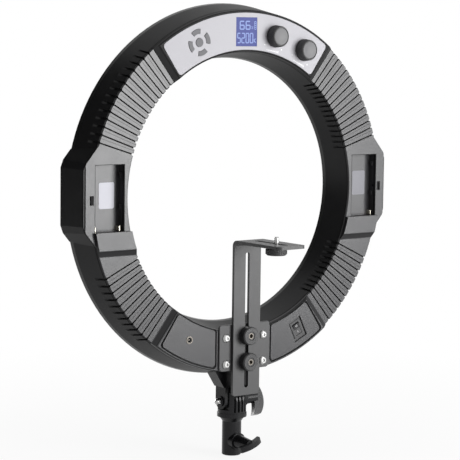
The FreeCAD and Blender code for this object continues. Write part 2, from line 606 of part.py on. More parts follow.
led_board = Piece("led_board", **RING)
led_board.revolve("top", "V_Axis", rectangle(
    f"{inner_wall(BOARD)} + side_wall + trim_gap", f"{outer_wall(BOARD)} - side_wall - trim_gap",
    f"{BOARD} - board_thickness", BOARD))
led_array = Piece("led_array", **RING, several=True)
for ring in ("led_ring_in", "led_ring_out"):
    led = led_array.pad(
        "face", f"{BOARD} - board_thickness - led_height", f"{BOARD} - board_thickness",
        rectangle("-led_side / 2", "led_side / 2", f"{ring} - led_side / 2", f"{ring} + led_side / 2"))
    led_array.repeat_round([led], "led_count", "360 / led_count")

# Control fascia with its window, spindle holes and key holes
FASCIA_BACK = f"({TOP} - fascia_thickness)"
ARCS = {"up": 0, "right": 270, "down": 180, "left": 90}


def key_arc(direction, grow="0"):
    """A curved key's outline about the middle of the keys, grown all round."""
    middle = ARCS[direction]
    half = f"(arc_sweep / 2 + ({grow}) / arc_in * 180 / pi)"
    return band(f"arc_in - ({grow})", f"arc_out + ({grow})", f"{middle} - {half}", f"{middle} + {half}")


fascia = Piece("control_fascia", **RING)
fascia.pad("face", FASCIA_BACK, TOP, band(
    f"{FASCIA_IN} + trim_gap", f"{FASCIA_OUT} - trim_gap", "-fascia_sweep / 2", "fascia_sweep / 2"))
fascia.dress("Fillet", along("y"), Radius="fascia_corner")
WINDOW = ["window_x - window_width / 2", "window_x + window_width / 2",
          "window_z - window_height / 2", "window_z + window_height / 2"]
KEYS_AT = [polar_x("keys_ring", "keys_at"), polar_z("keys_ring", "keys_at")]
KNOBS = {"brightness": "brightness_at", "colour": "colour_at"}
openings = [rectangle(*WINDOW), circle(*KEYS_AT, "menu_radius + key_gap")]
for angle in KNOBS.values():
    spot = [polar_x("knob_ring", angle), polar_z("knob_ring", angle)]
    openings.append(circle(*spot, "spindle_radius + moving_gap"))
for middle in ARCS.values():
    half = "(arc_sweep / 2 + key_gap / arc_in * 180 / pi)"
    ends = [f"{middle} + keys_at - {half}", f"{middle} + keys_at + {half}"]
    openings.append(band("arc_in - key_gap", "arc_out + key_gap", *ends, *KEYS_AT))
fascia.pocket("face", f"{FASCIA_BACK} - overcut", ABOVE, *openings)

# Display and the board that carries every control
PCB = f"({CEILING} - seat_gap)"
window = Piece("display_window", **RING)
window.pad("face", f"{FASCIA_BACK} - window_drop", f"{TOP} - window_drop", rectangle(
    f"{WINDOW[0]} + seat_gap", f"{WINDOW[1]} - seat_gap",
    f"{WINDOW[2]} + seat_gap", f"{WINDOW[3]} - seat_gap"))
MODULE = [f"{WINDOW[0]} - module_margin", f"{WINDOW[1]} + module_margin",
          f"{WINDOW[2]} - module_margin", f"{WINDOW[3]} + module_margin"]
MODULE_BACK = f"({FASCIA_BACK} - window_drop - module_thickness)"
module = Piece("display_module", **RING)
module.pad("face", MODULE_BACK, f"{FASCIA_BACK} - window_drop", rectangle(*MODULE))
module.pad("face", PCB, MODULE_BACK, *[
    circle(f"{x}", f"{z}", "leg_radius")
    for x in (f"{MODULE[0]} + 2 * leg_radius", f"{MODULE[1]} - 2 * leg_radius")
    for z in (f"{MODULE[2]} + 2 * leg_radius", f"{MODULE[3]} - 2 * leg_radius")])
INNER_SPACE = f"{inner_wall(CEILING)} + side_wall + board_shoulder + moving_gap"
OUTER_SPACE = f"{outer_wall(CEILING)} - side_wall - board_shoulder - moving_gap"
control_board = Piece("control_board", **RING)
control_board.pad("face", f"{PCB} - board_thickness", PCB, band(
    INNER_SPACE, OUTER_SPACE,
    "-fascia_sweep / 2 + control_board_end", "fascia_sweep / 2 - control_board_end"))

# Encoders on the board, their spindles and the two dials
for label, angle in KNOBS.items():
    encoder = Piece(f"{label}_encoder", **on_ring("knob_ring", angle))
    encoder.pad("face", PCB, f"{PCB} + encoder_height", rectangle(
        "-encoder_side / 2", "encoder_side / 2", "-encoder_side / 2", "encoder_side / 2"))
    encoder.pocket("face", f"{PCB} + spindle_sink", f"{PCB} + encoder_height + overcut",
                   circle("0", "0", "spindle_radius + shaft_gap"))
    knob = Piece(f"{label}_knob", **on_ring("knob_ring", angle, f"{TOP} + knob_stand_off"))
    knob.revolve("top", "V_Axis", polygon(
        ("0", "spindle_end"), ("spindle_radius", "spindle_end"), ("spindle_radius", "0"),
        ("knob_radius - knob_round / 2", "0"), ("knob_radius", "knob_round / 2"),
        ("knob_radius - knob_taper", "knob_height - knob_round"),
        ("knob_radius - knob_taper - knob_round", "knob_height"),
        ("dish_radius + dish_depth", "knob_height"), ("dish_radius", "knob_height - dish_depth"),
        ("0", "knob_height - dish_depth")))
    spindle = Piece(f"{label}_shaft", **on_ring("knob_ring", angle))
    spindle.pad(
        "face", f"{PCB} + spindle_sink + seat_gap", f"{TOP} + knob_stand_off + spindle_end - seat_gap",
        circle("0", "0", "spindle_radius"))

# Keys: a round one with four curved ones about it, each with a flange behind the fascia
SWITCH_TOP = f"({PCB} + switch_height)"
FLANGE = [f"{FASCIA_BACK} - seat_gap - key_flange_thickness", f"{FASCIA_BACK} - seat_gap"]
KEY = [f"{SWITCH_TOP} + key_travel + seat_gap", f"{TOP} + key_proud"]
menu = Piece("menu_button", **on_ring("keys_ring", "keys_at"))
menu.pad("face", *KEY, circle("0", "0", "menu_radius"))
menu.pad("face", *FLANGE, circle("0", "0", "menu_radius + key_flange"))
for direction in ARCS:
    key = Piece(f"{direction}_button", **on_ring("keys_ring", "keys_at"))
    key.pad("face", *KEY, key_arc(direction))
    key.pad("face", *FLANGE, key_arc(direction, "key_flange"))
switches = Piece("tact_switches", **on_ring("keys_ring", "keys_at"), several=True)
REACH = "((arc_in + arc_out) / 2)"
switches.pad("face", PCB, SWITCH_TOP, *[
    rectangle(f"{x} * {REACH} - switch_side / 2", f"{x} * {REACH} + switch_side / 2",
              f"{z} * {REACH} - switch_side / 2", f"{z} * {REACH} + switch_side / 2")
    for x, z in ((0, 0), (1, 0), (-1, 0), (0, 1), (0, -1))])

# Inset panels with the power inlet and the mains rocker
JACK = on_ring("jack_ring", "jack_at")
jack_panel = Piece("jack_panel", **RING)
jack_panel.pad("face", PANEL_FLOOR, f"{TOP} - panel_sink", panel_outline("jack"))
jack_panel.dress("Fillet", along("y"), Radius="panel_corner")
jack_panel.pocket("face", f"{PANEL_FLOOR} - overcut", ABOVE, circle(*JACK_AT, "jack_radius + seat_gap"))
switch_panel = Piece("switch_panel", **RING)
switch_panel.pad("face", PANEL_FLOOR, f"{TOP} - panel_sink", panel_outline("switch"))
switch_panel.dress("Fillet", along("y"), Radius="panel_corner")
switch_panel.pocket("face", f"{PANEL_FLOOR} - overcut", ABOVE, turned_rectangle(
    "rocker_ring", "rocker_at", "recess_width", "recess_height"))

JACK_TOP = f"({TOP} + jack_proud)"
JACK_FACE = f"({TOP} - jack_core_sink)"
sleeve = Piece("dc_jack_sleeve", **JACK)
sleeve.pad("face", f"{JACK_TOP} - jack_length", JACK_TOP, circle("0", "0", "jack_radius"))
sleeve.pocket("face", f"{JACK_TOP} - jack_length - overcut", f"{JACK_TOP} + overcut",
              circle("0", "0", "jack_radius - jack_wall"))
core = Piece("dc_jack_core", **JACK)
core.pad("face", f"{JACK_TOP} - jack_length", JACK_FACE, circle("0", "0", "jack_radius - jack_wall"))
core.pocket("face", f"{JACK_FACE} - jack_bore_depth", f"{JACK_FACE} + overcut", circle("0", "0", "jack_bore"))
pin = Piece("dc_jack_pin", **JACK)
pin.pad("face", f"{JACK_FACE} - jack_bore_depth", f"{JACK_FACE} - jack_pin_sink",
        circle("0", "0", "jack_pin"))

FRAME_TOP = f"({TOP} - panel_sink - frame_sink)"
frame = Piece("switch_frame", **on_ring("rocker_ring", "rocker_at"))
frame.pad("face", f"{FRAME_TOP} - frame_depth", FRAME_TOP, rectangle(
    "-recess_width / 2 + seat_gap", "recess_width / 2 - seat_gap",
    "-recess_height / 2 + seat_gap", "recess_height / 2 - seat_gap"))
RIM = ["rocker_width / 2 + frame_rim", "rocker_length / 2 + frame_rim"]
RIM_TOP = f"({FRAME_TOP} + frame_rim_rise)"
frame.pad("face", FRAME_TOP, RIM_TOP, rectangle(f"-({RIM[0]})", RIM[0], f"-({RIM[1]})", RIM[1]))
HOLE = ["rocker_width / 2 + rocker_gap", "rocker_length / 2 + rocker_gap"]
frame.pocket("face", f"{FRAME_TOP} - frame_depth - overcut", f"{RIM_TOP} + overcut", rectangle(
    f"-({HOLE[0]})", HOLE[0], f"-({HOLE[1]})", HOLE[1]))
rocker = Piece("power_rocker", **on_ring("rocker_ring", "rocker_at", f"{RIM_TOP} - rocker_pivot"))
rocker.across("Pad", "0", "rocker_width", circle("0", "0", "rocker_length / 2"))
HALF_SWING = "rocker_swing / 2"
VALLEY = "(rocker_pivot - rocker_valley)"
RISE = f"rocker_length * tan(({HALF_SWING}) * 1deg)"


def pressed(depth, length):
    """A point of the rocker's side, turned from its level state to its pressed one."""
    return (f"({depth}) * {cosine(HALF_SWING)} - ({length}) * {sine(HALF_SWING)}",
            f"({depth}) * {sine(HALF_SWING)} + ({length}) * {cosine(HALF_SWING)}")


rocker.across("Pocket", "0", "rocker_width + 2 * overcut", polygon(
    pressed(VALLEY, "0"), pressed(f"{VALLEY} + {RISE}", "rocker_length"),
    pressed("rocker_length", "rocker_length"), pressed("rocker_length", "-rocker_length"),
    pressed(f"{VALLEY} + {RISE}", "-rocker_length")))
rocker.across("Pocket", "0", "rocker_width + 2 * overcut", rectangle(
    "-rocker_length", "-rocker_drop", "-rocker_length", "rocker_length"))
power_board = Piece("power_board", **RING)
power_board.pad("face", f"{FRAME_TOP} - frame_depth - seat_gap - board_thickness",
                f"{FRAME_TOP} - frame_depth - seat_gap",
                band(INNER_SPACE, "panel_out - power_board_margin", "180 - power_board_sweep",
                     "180 + power_board_sweep"))

# Battery trays behind both bays, with hooks, contact blades and a sprung release tab
TRAY_FLOOR = f"({BACK} - bay_depth)"
for label, side in (("left", ""), ("right", "-")):
    tray = Piece(f"{label}_battery_tray", **RING)
    tray.pad("face", f"{TRAY_FLOOR} - tray_wall", PCB, rectangle(
        f"{side}({BAY_IN} - tray_wall)", f"{side}({BAY_OUT} + tray_wall)",
        "stop_top - tray_wall", "bay_top + tray_wall"))
    tray.pocket("face", TRAY_FLOOR, f"{PCB} + overcut", rectangle(
        f"{side}{BAY_IN}", f"{side}{BAY_OUT}", "stop_top", "bay_top"))
    tray.pad("face", f"{BACK} - hook_depth", f"{BACK} - hook_depth + hook_thickness", *[
        rectangle(f"{side}({wall})", f"{side}({wall} {grow} hook_reach)", height, f"{height} + hook_length")
        for wall, grow in ((BAY_IN, "+"), (BAY_OUT, "-")) for height in ("upper_hook", "lower_hook")])
    tray.pocket("face", f"{PCB} - latch_base - latch_side_gap", f"{PCB} + overcut", rectangle(
        f"{side}({BAY_OUT} - moving_gap)", f"{side}({BAY_OUT} + tray_wall + moving_gap)",
        "latch_centre - latch_nub / 2 - latch_side_gap", "latch_centre + latch_nub / 2 + latch_side_gap"))

    blades = Piece(f"{label}_battery_contacts", **RING, several=True)
    blades.pad("face", TRAY_FLOOR, f"{TRAY_FLOOR} + blade_height", *[
        rectangle(f"{side}({place})", f"{side}({place} + blade_thickness)",
                  "stop_top + blade_gap", "stop_top + blade_gap + blade_length")
        for place in (f"{BAY_IN} + blade_inset", f"{BAY_OUT} - blade_inset - blade_thickness")])

    latch = Piece(f"{label}_battery_latch", **RING)
    HEIGHTS = ["latch_centre - latch_slot_length / 2", "latch_centre + latch_slot_length / 2"]
    tab = f"({LATCH} + latch_side_gap)"
    latch.pad("face", f"{PCB} - latch_base", PCB, rectangle(
        f"{side}({BAY_OUT} + tray_wall + latch_side_gap)", f"{side}({tab} + latch_base_reach)",
        f"{HEIGHTS[0]} - latch_margin", f"{HEIGHTS[1]} + latch_margin"))
    latch.pad("face", PCB, f"{BACK} - latch_sink", rectangle(
        f"{side}{tab}", f"{side}({tab} + latch_tab)",
        f"{HEIGHTS[0]} + latch_side_gap", f"{HEIGHTS[1]} - latch_side_gap"))
    latch.pad("face", f"{PCB} - latch_base", f"{PCB} - 2 * seat_gap", rectangle(
        f"{side}({BAY_OUT} - latch_nub_reach)", f"{side}({BAY_OUT} + tray_wall + latch_side_gap)",
        "latch_centre - latch_nub / 2", "latch_centre + latch_nub / 2"))

# Mount plate and its four screws
PLATE_TOP = f"({TOP} + plate_thickness)"
plate = Piece("mount_plate", **RING)
plate.pad("face", TOP, PLATE_TOP, rectangle(
    "-plate_half_width", "plate_half_width", "plate_bottom", "plate_top"))
plate.dress("Fillet", both(along("y"), near("z", "plate_bottom")), Radius="plate_corner")
plate.dress("Fillet", both(along("y"), near("z", "plate_top")), Radius="plate_corner / 2")
plate.dress("Chamfer", near("y", PLATE_TOP), Size="plate_bevel")
plate.pocket("face", f"{TOP} - overcut", f"{PLATE_TOP} + overcut",
             *[circle(x, z, "mount_shank + seat_gap") for x, z in SCREWS.values()],
             *[circle(x, z, "clamp_stud + shaft_gap") for x, z in STUDS])
HEAD_TOP = f"({PLATE_TOP} + mount_head_height)"
for corner, (x, z) in SCREWS.items():
    screw = Piece(f"{corner}_plate_screw", x, "-ring_set_back", f"{RING_Z} + {z}")
    screw.revolve("top", "V_Axis", polygon(
        ("0", f"{PLATE_TOP} - mount_shank_length"), ("mount_shank", f"{PLATE_TOP} - mount_shank_length"),
        ("mount_shank", PLATE_TOP), ("mount_head", PLATE_TOP),
        ("mount_head", f"{PLATE_TOP} + mount_head_edge"),
        ("(mount_head + mount_head_flat) / 2", f"{PLATE_TOP} + mount_head_shoulder"),
        ("mount_head_flat", HEAD_TOP), ("0", HEAD_TOP)))
    screw.pocket("face", f"{HEAD_TOP} - mount_socket_depth", f"{HEAD_TOP} + overcut",
                 hexagon("0", "0", "mount_socket"))

# Camera arm: an upright slotted bar bent over into a slotted shelf
ARM = f"({PLATE_TOP} + slide_gap)"
ARM_OUT = f"({ARM} + arm_thickness)"
arm = Piece("camera_arm", **RING)
arm.pad("side", "-arm_half_width", "arm_half_width", polygon(
    (ARM, "arm_bottom"), (ARM, "arm_top"), ("arm_reach", "arm_top"), ("arm_reach", "arm_top - arm_thickness"),
    (ARM_OUT, "arm_top - arm_thickness"), (ARM_OUT, "arm_bottom")))
for test, radius in (
        (both(along("x"), near("y", ARM), near("z", "arm_top")), "arm_bend + arm_thickness"),
        (both(along("x"), near("y", ARM_OUT), near("z", "arm_top - arm_thickness")), "arm_bend"),
        (both(along("y"), near("z", "arm_bottom")), "arm_corner"),
        (both(along("z"), near("y", "arm_reach")), "shelf_corner")):
    arm.dress("Fillet", test, Radius=radius)
arm.pocket("face", f"{ARM} - overcut", f"{ARM_OUT} + overcut", slot(
    "0", "slot_bottom", "slot_top", "slot_width"))
arm.pocket("top", "arm_top - arm_thickness - overcut", "arm_top + overcut", slot(
    "0", "shelf_slot_start", "shelf_slot_end", "shelf_slot_width"))

# Thumb knobs that clamp the arm, each with a metal insert and stud
CLAMP = f"({ARM_OUT} + slide_gap)"
for label, height in (("upper", "upper_knob_z"), ("lower", "lower_knob_z")):
    place = {"y": "-ring_set_back", "z": f"{RING_Z} + {height}"}
    knob = Piece(f"{label}_clamp_knob", **place)
    knob.revolve("top", "V_Axis", polygon(
        ("clamp_stud", CLAMP), ("clamp_knob - clamp_round / 2", CLAMP),
        ("clamp_knob", f"{CLAMP} + clamp_round / 2"),
        ("clamp_knob", f"{CLAMP} + clamp_knob_height - clamp_round"),
        ("clamp_knob - clamp_round", f"{CLAMP} + clamp_knob_height"),
        ("insert_dish + insert_dish_depth", f"{CLAMP} + clamp_knob_height"),
        ("insert_dish", f"{CLAMP} + clamp_knob_height - insert_dish_depth"),
        ("insert_radius", f"{CLAMP} + clamp_knob_height - insert_dish_depth"),
        ("insert_radius", f"{CLAMP} + clamp_knob_height - 2 * hex_depth"),
        ("clamp_stud", f"{CLAMP} + clamp_knob_height - 2 * hex_depth")))
    screw = Piece(f"{label}_clamp_screw", **place)
    screw.revolve("top", "V_Axis", polygon(
        ("0", f"{PLATE_TOP} - clamp_stud_depth"), ("clamp_stud", f"{PLATE_TOP} - clamp_stud_depth"),
        ("clamp_stud", f"{CLAMP} + clamp_knob_height - 2 * hex_depth"),
        ("insert_radius", f"{CLAMP} + clamp_knob_height - 2 * hex_depth"),
        ("insert_radius", f"{CLAMP} + clamp_knob_height - insert_dish_depth"),
        ("0", f"{CLAMP} + clamp_knob_height - insert_dish_depth")))
    screw.pocket("face", f"{CLAMP} + clamp_knob_height - insert_dish_depth - hex_depth",
                 f"{CLAMP} + clamp_knob_height", hexagon("0", "0", "hex_socket"))

# Camera screw under the shelf, with its washer and knob
SHELF = "(arm_top - arm_thickness)"
WASHER = f"({SHELF} - seat_gap - washer_thickness)"
CAMERA = {"y": "camera_y - ring_set_back", "z": RING_Z}
washer = Piece("camera_washer", **CAMERA)
washer.revolve("side", "V_Axis", rectangle(
    "camera_stud + shaft_gap", "washer_radius", WASHER, f"{SHELF} - seat_gap"))
KNOB_TOP = f"({WASHER} - seat_gap)"
KNOB_LOW = f"({KNOB_TOP} - camera_knob_height)"
NECK_END = "(arm_top + camera_neck_proud)"
STUD_TOP = "(arm_top + camera_stud_proud)"
camera_knob = Piece("camera_knob", **CAMERA)
camera_knob.revolve("side", "V_Axis", polygon(
    ("camera_neck", KNOB_TOP), ("camera_knob - clamp_round", KNOB_TOP),
    ("camera_knob", f"{KNOB_TOP} - clamp_round"), ("camera_knob", f"{KNOB_LOW} + clamp_round"),
    ("camera_knob - clamp_round", KNOB_LOW), ("camera_neck", KNOB_LOW)))
stud = Piece("camera_stud", **CAMERA)
stud.revolve("side", "V_Axis", polygon(
    ("0", KNOB_LOW), ("camera_neck", KNOB_LOW), ("camera_neck", NECK_END), ("camera_stud", NECK_END),
    ("camera_stud", f"{STUD_TOP} - camera_stud_bevel"), ("camera_stud - camera_stud_bevel", STUD_TOP),
    ("0", STUD_TOP)))

# Tilt yoke: a saddle that fits the ring's outer wall, with two ears round the adapter's tongue
TILT_Y = "ring_set_back"
TILT_Z = "(-front_outer - yoke_drop)"
SADDLE_TOP = "(-front_outer + saddle_bite)"
SADDLE_LOW = f"({TILT_Z} + saddle_rise)"
EAR_IN = "(ear_outer - ear_thickness)"
yoke = Piece("tilt_yoke", **RING)
sections = [
    yoke.draw("top", level, [rectangle(f"-{half}", half, f"{TILT_Y} - {depth}", f"{TILT_Y} + {depth}")])
    for level, half, depth in ((SADDLE_TOP, "saddle_top_half", "saddle_top_depth"),
                               (SADDLE_LOW, "saddle_low_half", "saddle_low_depth"))]
saddle, empty = yoke.feature("AdditiveLoft", sections[0])
saddle.Sections = [sections[1]]
yoke.finish(saddle, empty, True)
yoke.pad("side", "-ear_outer", "ear_outer", rectangle(
    f"{TILT_Y} - ear_half_width", f"{TILT_Y} + ear_half_width", TILT_Z, f"{SADDLE_LOW} + overcut"))
yoke.pad("side", "-ear_outer", "ear_outer", circle(TILT_Y, TILT_Z, "ear_half_width"))
yoke.pocket("side", f"-{EAR_IN}", EAR_IN, rectangle(
    f"{TILT_Y} - ear_half_width - overcut", f"{TILT_Y} + ear_half_width + overcut",
    f"{TILT_Z} - ear_half_width - overcut", SADDLE_LOW))
yoke.pocket("side", "-ear_outer - overcut", "ear_outer + overcut",
            circle(TILT_Y, TILT_Z, "tilt_bolt + shaft_gap"))
yoke.groove("top", "V_Axis", polygon(
    ("back_inner", FRONT), (f"{outer_wall(FRONT)} + seat_gap", FRONT),
    (f"{outer_wall(TOP)} + seat_gap", TOP), ("back_inner", TOP)))


def bowed_wing(piece, plane, name, lift="0"):
    """A bar across a hub whose ends sweep back, cut from a disc. It reaches along -X or along Y."""
    root, end = f"({lift} + {name}_root)", f"({lift} + {name}_end)"
    span, bow, hollow, thickness = (f"{name}_{part}" for part in ("span", "bow", "hollow", "thickness"))

    def spot(reach, aside):
        return (f"-({reach})", aside) if plane == "face" else (aside, reach)

    outer = f"(({bow} ^ 2 + {span} ^ 2) / (2 * {bow}))"
    inner = f"(({hollow} ^ 2 + {span} ^ 2) / (2 * {hollow}))"
    piece.pad(plane, f"-{thickness} / 2", f"{thickness} / 2", circle(*spot(f"{end} - {outer}", "0"), outer))
    piece.pocket(plane, f"-{thickness}", thickness, circle(*spot(f"{root} - {inner}", "0"), inner))
    for side in ("", "-"):
        piece.pocket(plane, f"-{thickness}", thickness, polygon(
            spot(f"{end} + overcut", f"{side}{span}"), spot(f"{end} + overcut", f"{side}2 * {span}"),
            spot(f"-2 * {span}", f"{side}2 * {span}"), spot(f"-2 * {span}", f"{side}{span}")))


# Tilt bolt with its wing, and the washers and acorn nut that stay with the yoke
TILT = {"z": "tilt_height"}
NUT = "(ear_outer + 2 * seat_gap + tilt_washer_thickness)"
NUT_END = f"({NUT} + nut_height)"
HUB_END = "(ear_outer + tilt_wing_root + tilt_wing_grip)"
bolt = Piece("tilt_bolt", **TILT)
bolt.pad("side", f"-{HUB_END}", NUT_END, circle("0", "0", "tilt_bolt"))
for label, side in (("nut_washer", ""), ("wing_washer", "-")):
    faces = [f"{side}(ear_outer + seat_gap)", f"{side}(ear_outer + seat_gap + tilt_washer_thickness)"]
    washer = Piece(label, **TILT)
    washer.pad("side", *sorted(faces, key=value), circle("0", "0", "tilt_washer"),
               circle("0", "0", "tilt_bolt + shaft_gap"))
nut = Piece("tilt_nut", **TILT)
nut.pad("side", NUT, NUT_END, hexagon("0", "0", "nut_flats"))
nut.revolve("top", "H_Axis", polygon(
    (f"{NUT_END} - overcut", "0"), (f"{NUT_END} - overcut", "dome_radius"),
    (f"{NUT_END} + dome_shoulder", "dome_radius"), (f"{NUT_END} + dome_cap_height", "dome_cap"),
    (f"{NUT_END} + dome_height", "0")))
nut.pocket("side", f"{NUT} - overcut", f"{NUT_END} + seat_gap", circle("0", "0", "tilt_bolt + shaft_gap"))
wing = Piece("tilt_wing", **TILT, turn="tilt_wing_turn", about=Vector(1, 0, 0))
bowed_wing(wing, "face", "tilt_wing", lift="ear_outer")
wing.revolve("top", "H_Axis", polygon(
    (f"-{NUT}", "0"), (f"-{NUT}", "tilt_wing_hub"), (f"-{HUB_END}", "tilt_wing_hub - overcut"),
    (f"-{HUB_END}", "0")))
wing.pocket("side", f"-{HUB_END}", f"-{NUT} + overcut", circle("0", "0", "tilt_bolt"))

# Stand adapter: a socket with a flange and a fluted collar, whose tongue stands between the ears
NECK_TOP = "(tilt_height - flange_drop)"
FLANGE_TOP = f"({NECK_TOP} + flange_height)"
SHOULDER = "(tilt_height - ear_half_width - 2 * moving_gap)"
TONGUE_TOP = "(tilt_height + tongue_radius)"
adapter = Piece("stand_adapter")
adapter.revolve("side", "V_Axis", polygon(
    ("socket_radius", "0"), ("tube_radius - seam_step", "0"), ("tube_radius", "seam_step"),
    ("tube_radius", f"{NECK_TOP} - neck_length"), ("collar_flange - flange_lip", NECK_TOP),
    ("collar_flange", NECK_TOP), ("collar_flange", FLANGE_TOP), ("collar_radius", FLANGE_TOP),
    ("collar_radius", f"{TONGUE_TOP} + overcut"), ("0", f"{TONGUE_TOP} + overcut"), ("0", "socket_depth"),
    ("socket_radius", "socket_depth")))
adapter.pad("face", "0", "boss_reach", circle("0", "lock_height", "boss_radius"))
adapter.pocket("top", "-overcut", "socket_depth", circle("0", "0", "socket_radius"))
adapter.pocket("face", "0", "boss_reach + overcut", circle("0", "lock_height", "lock_stud + shaft_gap"))
adapter.pocket("side", "-collar_flange", "collar_flange", band(
    "tongue_radius", "2 * tongue_radius", "-90", "90", y="tilt_height"))
for side in ("", "-"):
    adapter.pocket("face", "-collar_flange - overcut", "collar_flange + overcut", rectangle(
        f"{side}({EAR_IN} - moving_gap)", f"{side}(collar_flange + overcut)",
        SHOULDER, f"{TONGUE_TOP} + overcut"))
FLUTES = [slot(f"flute_pitch * {place}", f"{FLANGE_TOP} + flute_lift", TONGUE_TOP, "flute_width")
          for place in (-1.5, -0.5, 0.5, 1.5)]
adapter.pocket("face", "flute_floor", "collar_flange + overcut", *FLUTES)
adapter.pocket("face", "-collar_flange - overcut", "-flute_floor", *FLUTES)
adapter.pocket("side", "-collar_flange", "collar_flange", circle("0", "tilt_height", "tilt_bolt + shaft_gap"))

# Lock screw through the boss, with its wing
LOCK = {"z": "lock_height", "turn": "lock_wing_turn"}
LOCK_HUB_END = "(lock_wing_root + lock_grip)"
lock_screw = Piece("stand_lock_screw", **LOCK)
lock_screw.pad("face", "lock_stud_start", "lock_wing_root", circle("0", "0", "lock_stud"))
lock_wing = Piece("stand_lock_wing", **LOCK)
bowed_wing(lock_wing, "top", "lock_wing")
lock_wing.revolve("top", "V_Axis", polygon(
    ("0", "lock_hub_start"), ("lock_hub_base", "lock_hub_start"), ("lock_hub_tip", LOCK_HUB_END),
    ("0", LOCK_HUB_END)))
lock_wing.pocket("face", "lock_hub_start - overcut", "lock_wing_root", circle("0", "0", "lock_stud"))

# Every piece but the housing's blank and its cutters is a file
doc.recompute()
os.makedirs("parts", exist_ok=True)
made_for_housing = ("housing_blank", "housing_cutters")
nodes = [item for item in doc.Objects if item.TypeId in ("PartDesign::Body", "Part::Cut")]
for item in doc.Objects:
    if "Invalid" in item.State or "Error" in item.State:
        raise RuntimeError(f"{item.Label} did not compute")
for node in nodes:
    if node.Shape.isNull() or not node.Shape.isValid():
        raise RuntimeError(f"{node.Label} has no valid shape")
    if node.Label not in made_for_housing:
        node.Shape.exportStep(f"parts/{node.Label}.step")
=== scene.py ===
import math

import bpy
from mathutils import Matrix, Vector


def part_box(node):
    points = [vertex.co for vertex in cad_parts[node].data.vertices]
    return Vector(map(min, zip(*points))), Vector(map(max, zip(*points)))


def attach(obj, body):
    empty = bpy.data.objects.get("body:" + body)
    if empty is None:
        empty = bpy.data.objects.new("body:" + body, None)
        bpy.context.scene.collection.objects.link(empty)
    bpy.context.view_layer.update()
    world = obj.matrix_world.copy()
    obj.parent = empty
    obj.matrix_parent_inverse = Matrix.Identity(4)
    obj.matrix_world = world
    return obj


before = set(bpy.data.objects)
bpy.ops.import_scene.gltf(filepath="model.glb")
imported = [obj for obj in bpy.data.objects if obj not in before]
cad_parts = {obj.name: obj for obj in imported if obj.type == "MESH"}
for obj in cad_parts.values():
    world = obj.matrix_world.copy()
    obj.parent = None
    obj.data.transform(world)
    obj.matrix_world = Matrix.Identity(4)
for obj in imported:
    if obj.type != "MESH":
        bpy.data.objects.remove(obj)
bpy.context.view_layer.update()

# Rear housing. One injection moulding in near-black ABS: the ribs, the raised plateaus and the two battery
# housings are part of it. Faces that look straight back have a fine spark-eroded skin that shines; walls and
# ramps are matt from the tool. Groove floors, stepped seats and thin lines round the battery bays carry
# painted
# shade: the near-black matt shader is mixed in there almost wholly. The back faces in the fascia's zone are
# held near black in the same way. A fine score runs along every rib.
RING_CENTRE = Vector((0, -0.005, 0.356))
back_face, plateau_face = 0.02325, 0.02825
groove_floor, seat_floor = 0.02075, 0.02735
face_depth, seat_depth = 0.0006, 0.0002
# Shares of the near-black matt shader: on walls and ramps, and as painted shade on groove floors and seats.
matt_share, groove_shade_share = 0.65, 0.97
matt_black = (0.014, 0.014, 0.014)
rib_pitch = 2.5
rib_zones = ((40.2, 72.7), (115.0, 140.0))
score_place, score_half_width = 0.42, 0.05
score_inside, score_outside = 0.187, 0.237
score_share = 0.4
fascia_zone = 38.2
bay_middle, bay_half_width, bay_top, bay_rim = 0.212, 0.022, 0.043, 0.0007
# The share of painted shade in the lines round the battery bays.
rim_shade_share = 0.9


class Value:
    """A socket of a material that adds its own Math nodes when it is used in a sum."""

    def __init__(self, finish, socket):
        self.finish = finish
        self.socket = socket

    def math(self, operation, first, second=0.5):
        return self.finish.add("ShaderNodeMath", {"operation": operation}, {0: first, 1: second})

    def __add__(self, other):
        return self.math("ADD", self, other)

    def __sub__(self, other):
        return self.math("SUBTRACT", self, other)

    def __rsub__(self, other):
        return self.math("SUBTRACT", other, self)

    def __mul__(self, other):
        return self.math("MULTIPLY", self, other)

    def __truediv__(self, other):
        return self.math("DIVIDE", self, other)

    def __gt__(self, other):
        return self.math("GREATER_THAN", self, other)

    def __lt__(self, other):
        return self.math("LESS_THAN", self, other)

    def __abs__(self):
        return self.math("ABSOLUTE", self)

    __radd__ = __add__
    __rmul__ = __mul__

    def root(self):
        return self.math("SQRT", self)

    def wave(self):
        return self.math("SINE", self)

    def share(self):
        """What is left after whole numbers are taken off."""
        return self.math("FRACT", self)

    def clamped(self):
        return self.math("MINIMUM", self.math("MAXIMUM", self, 0), 1)

    def angle_from(self, other):
        return self.math("ARCTAN2", self, other) * math.degrees(1)


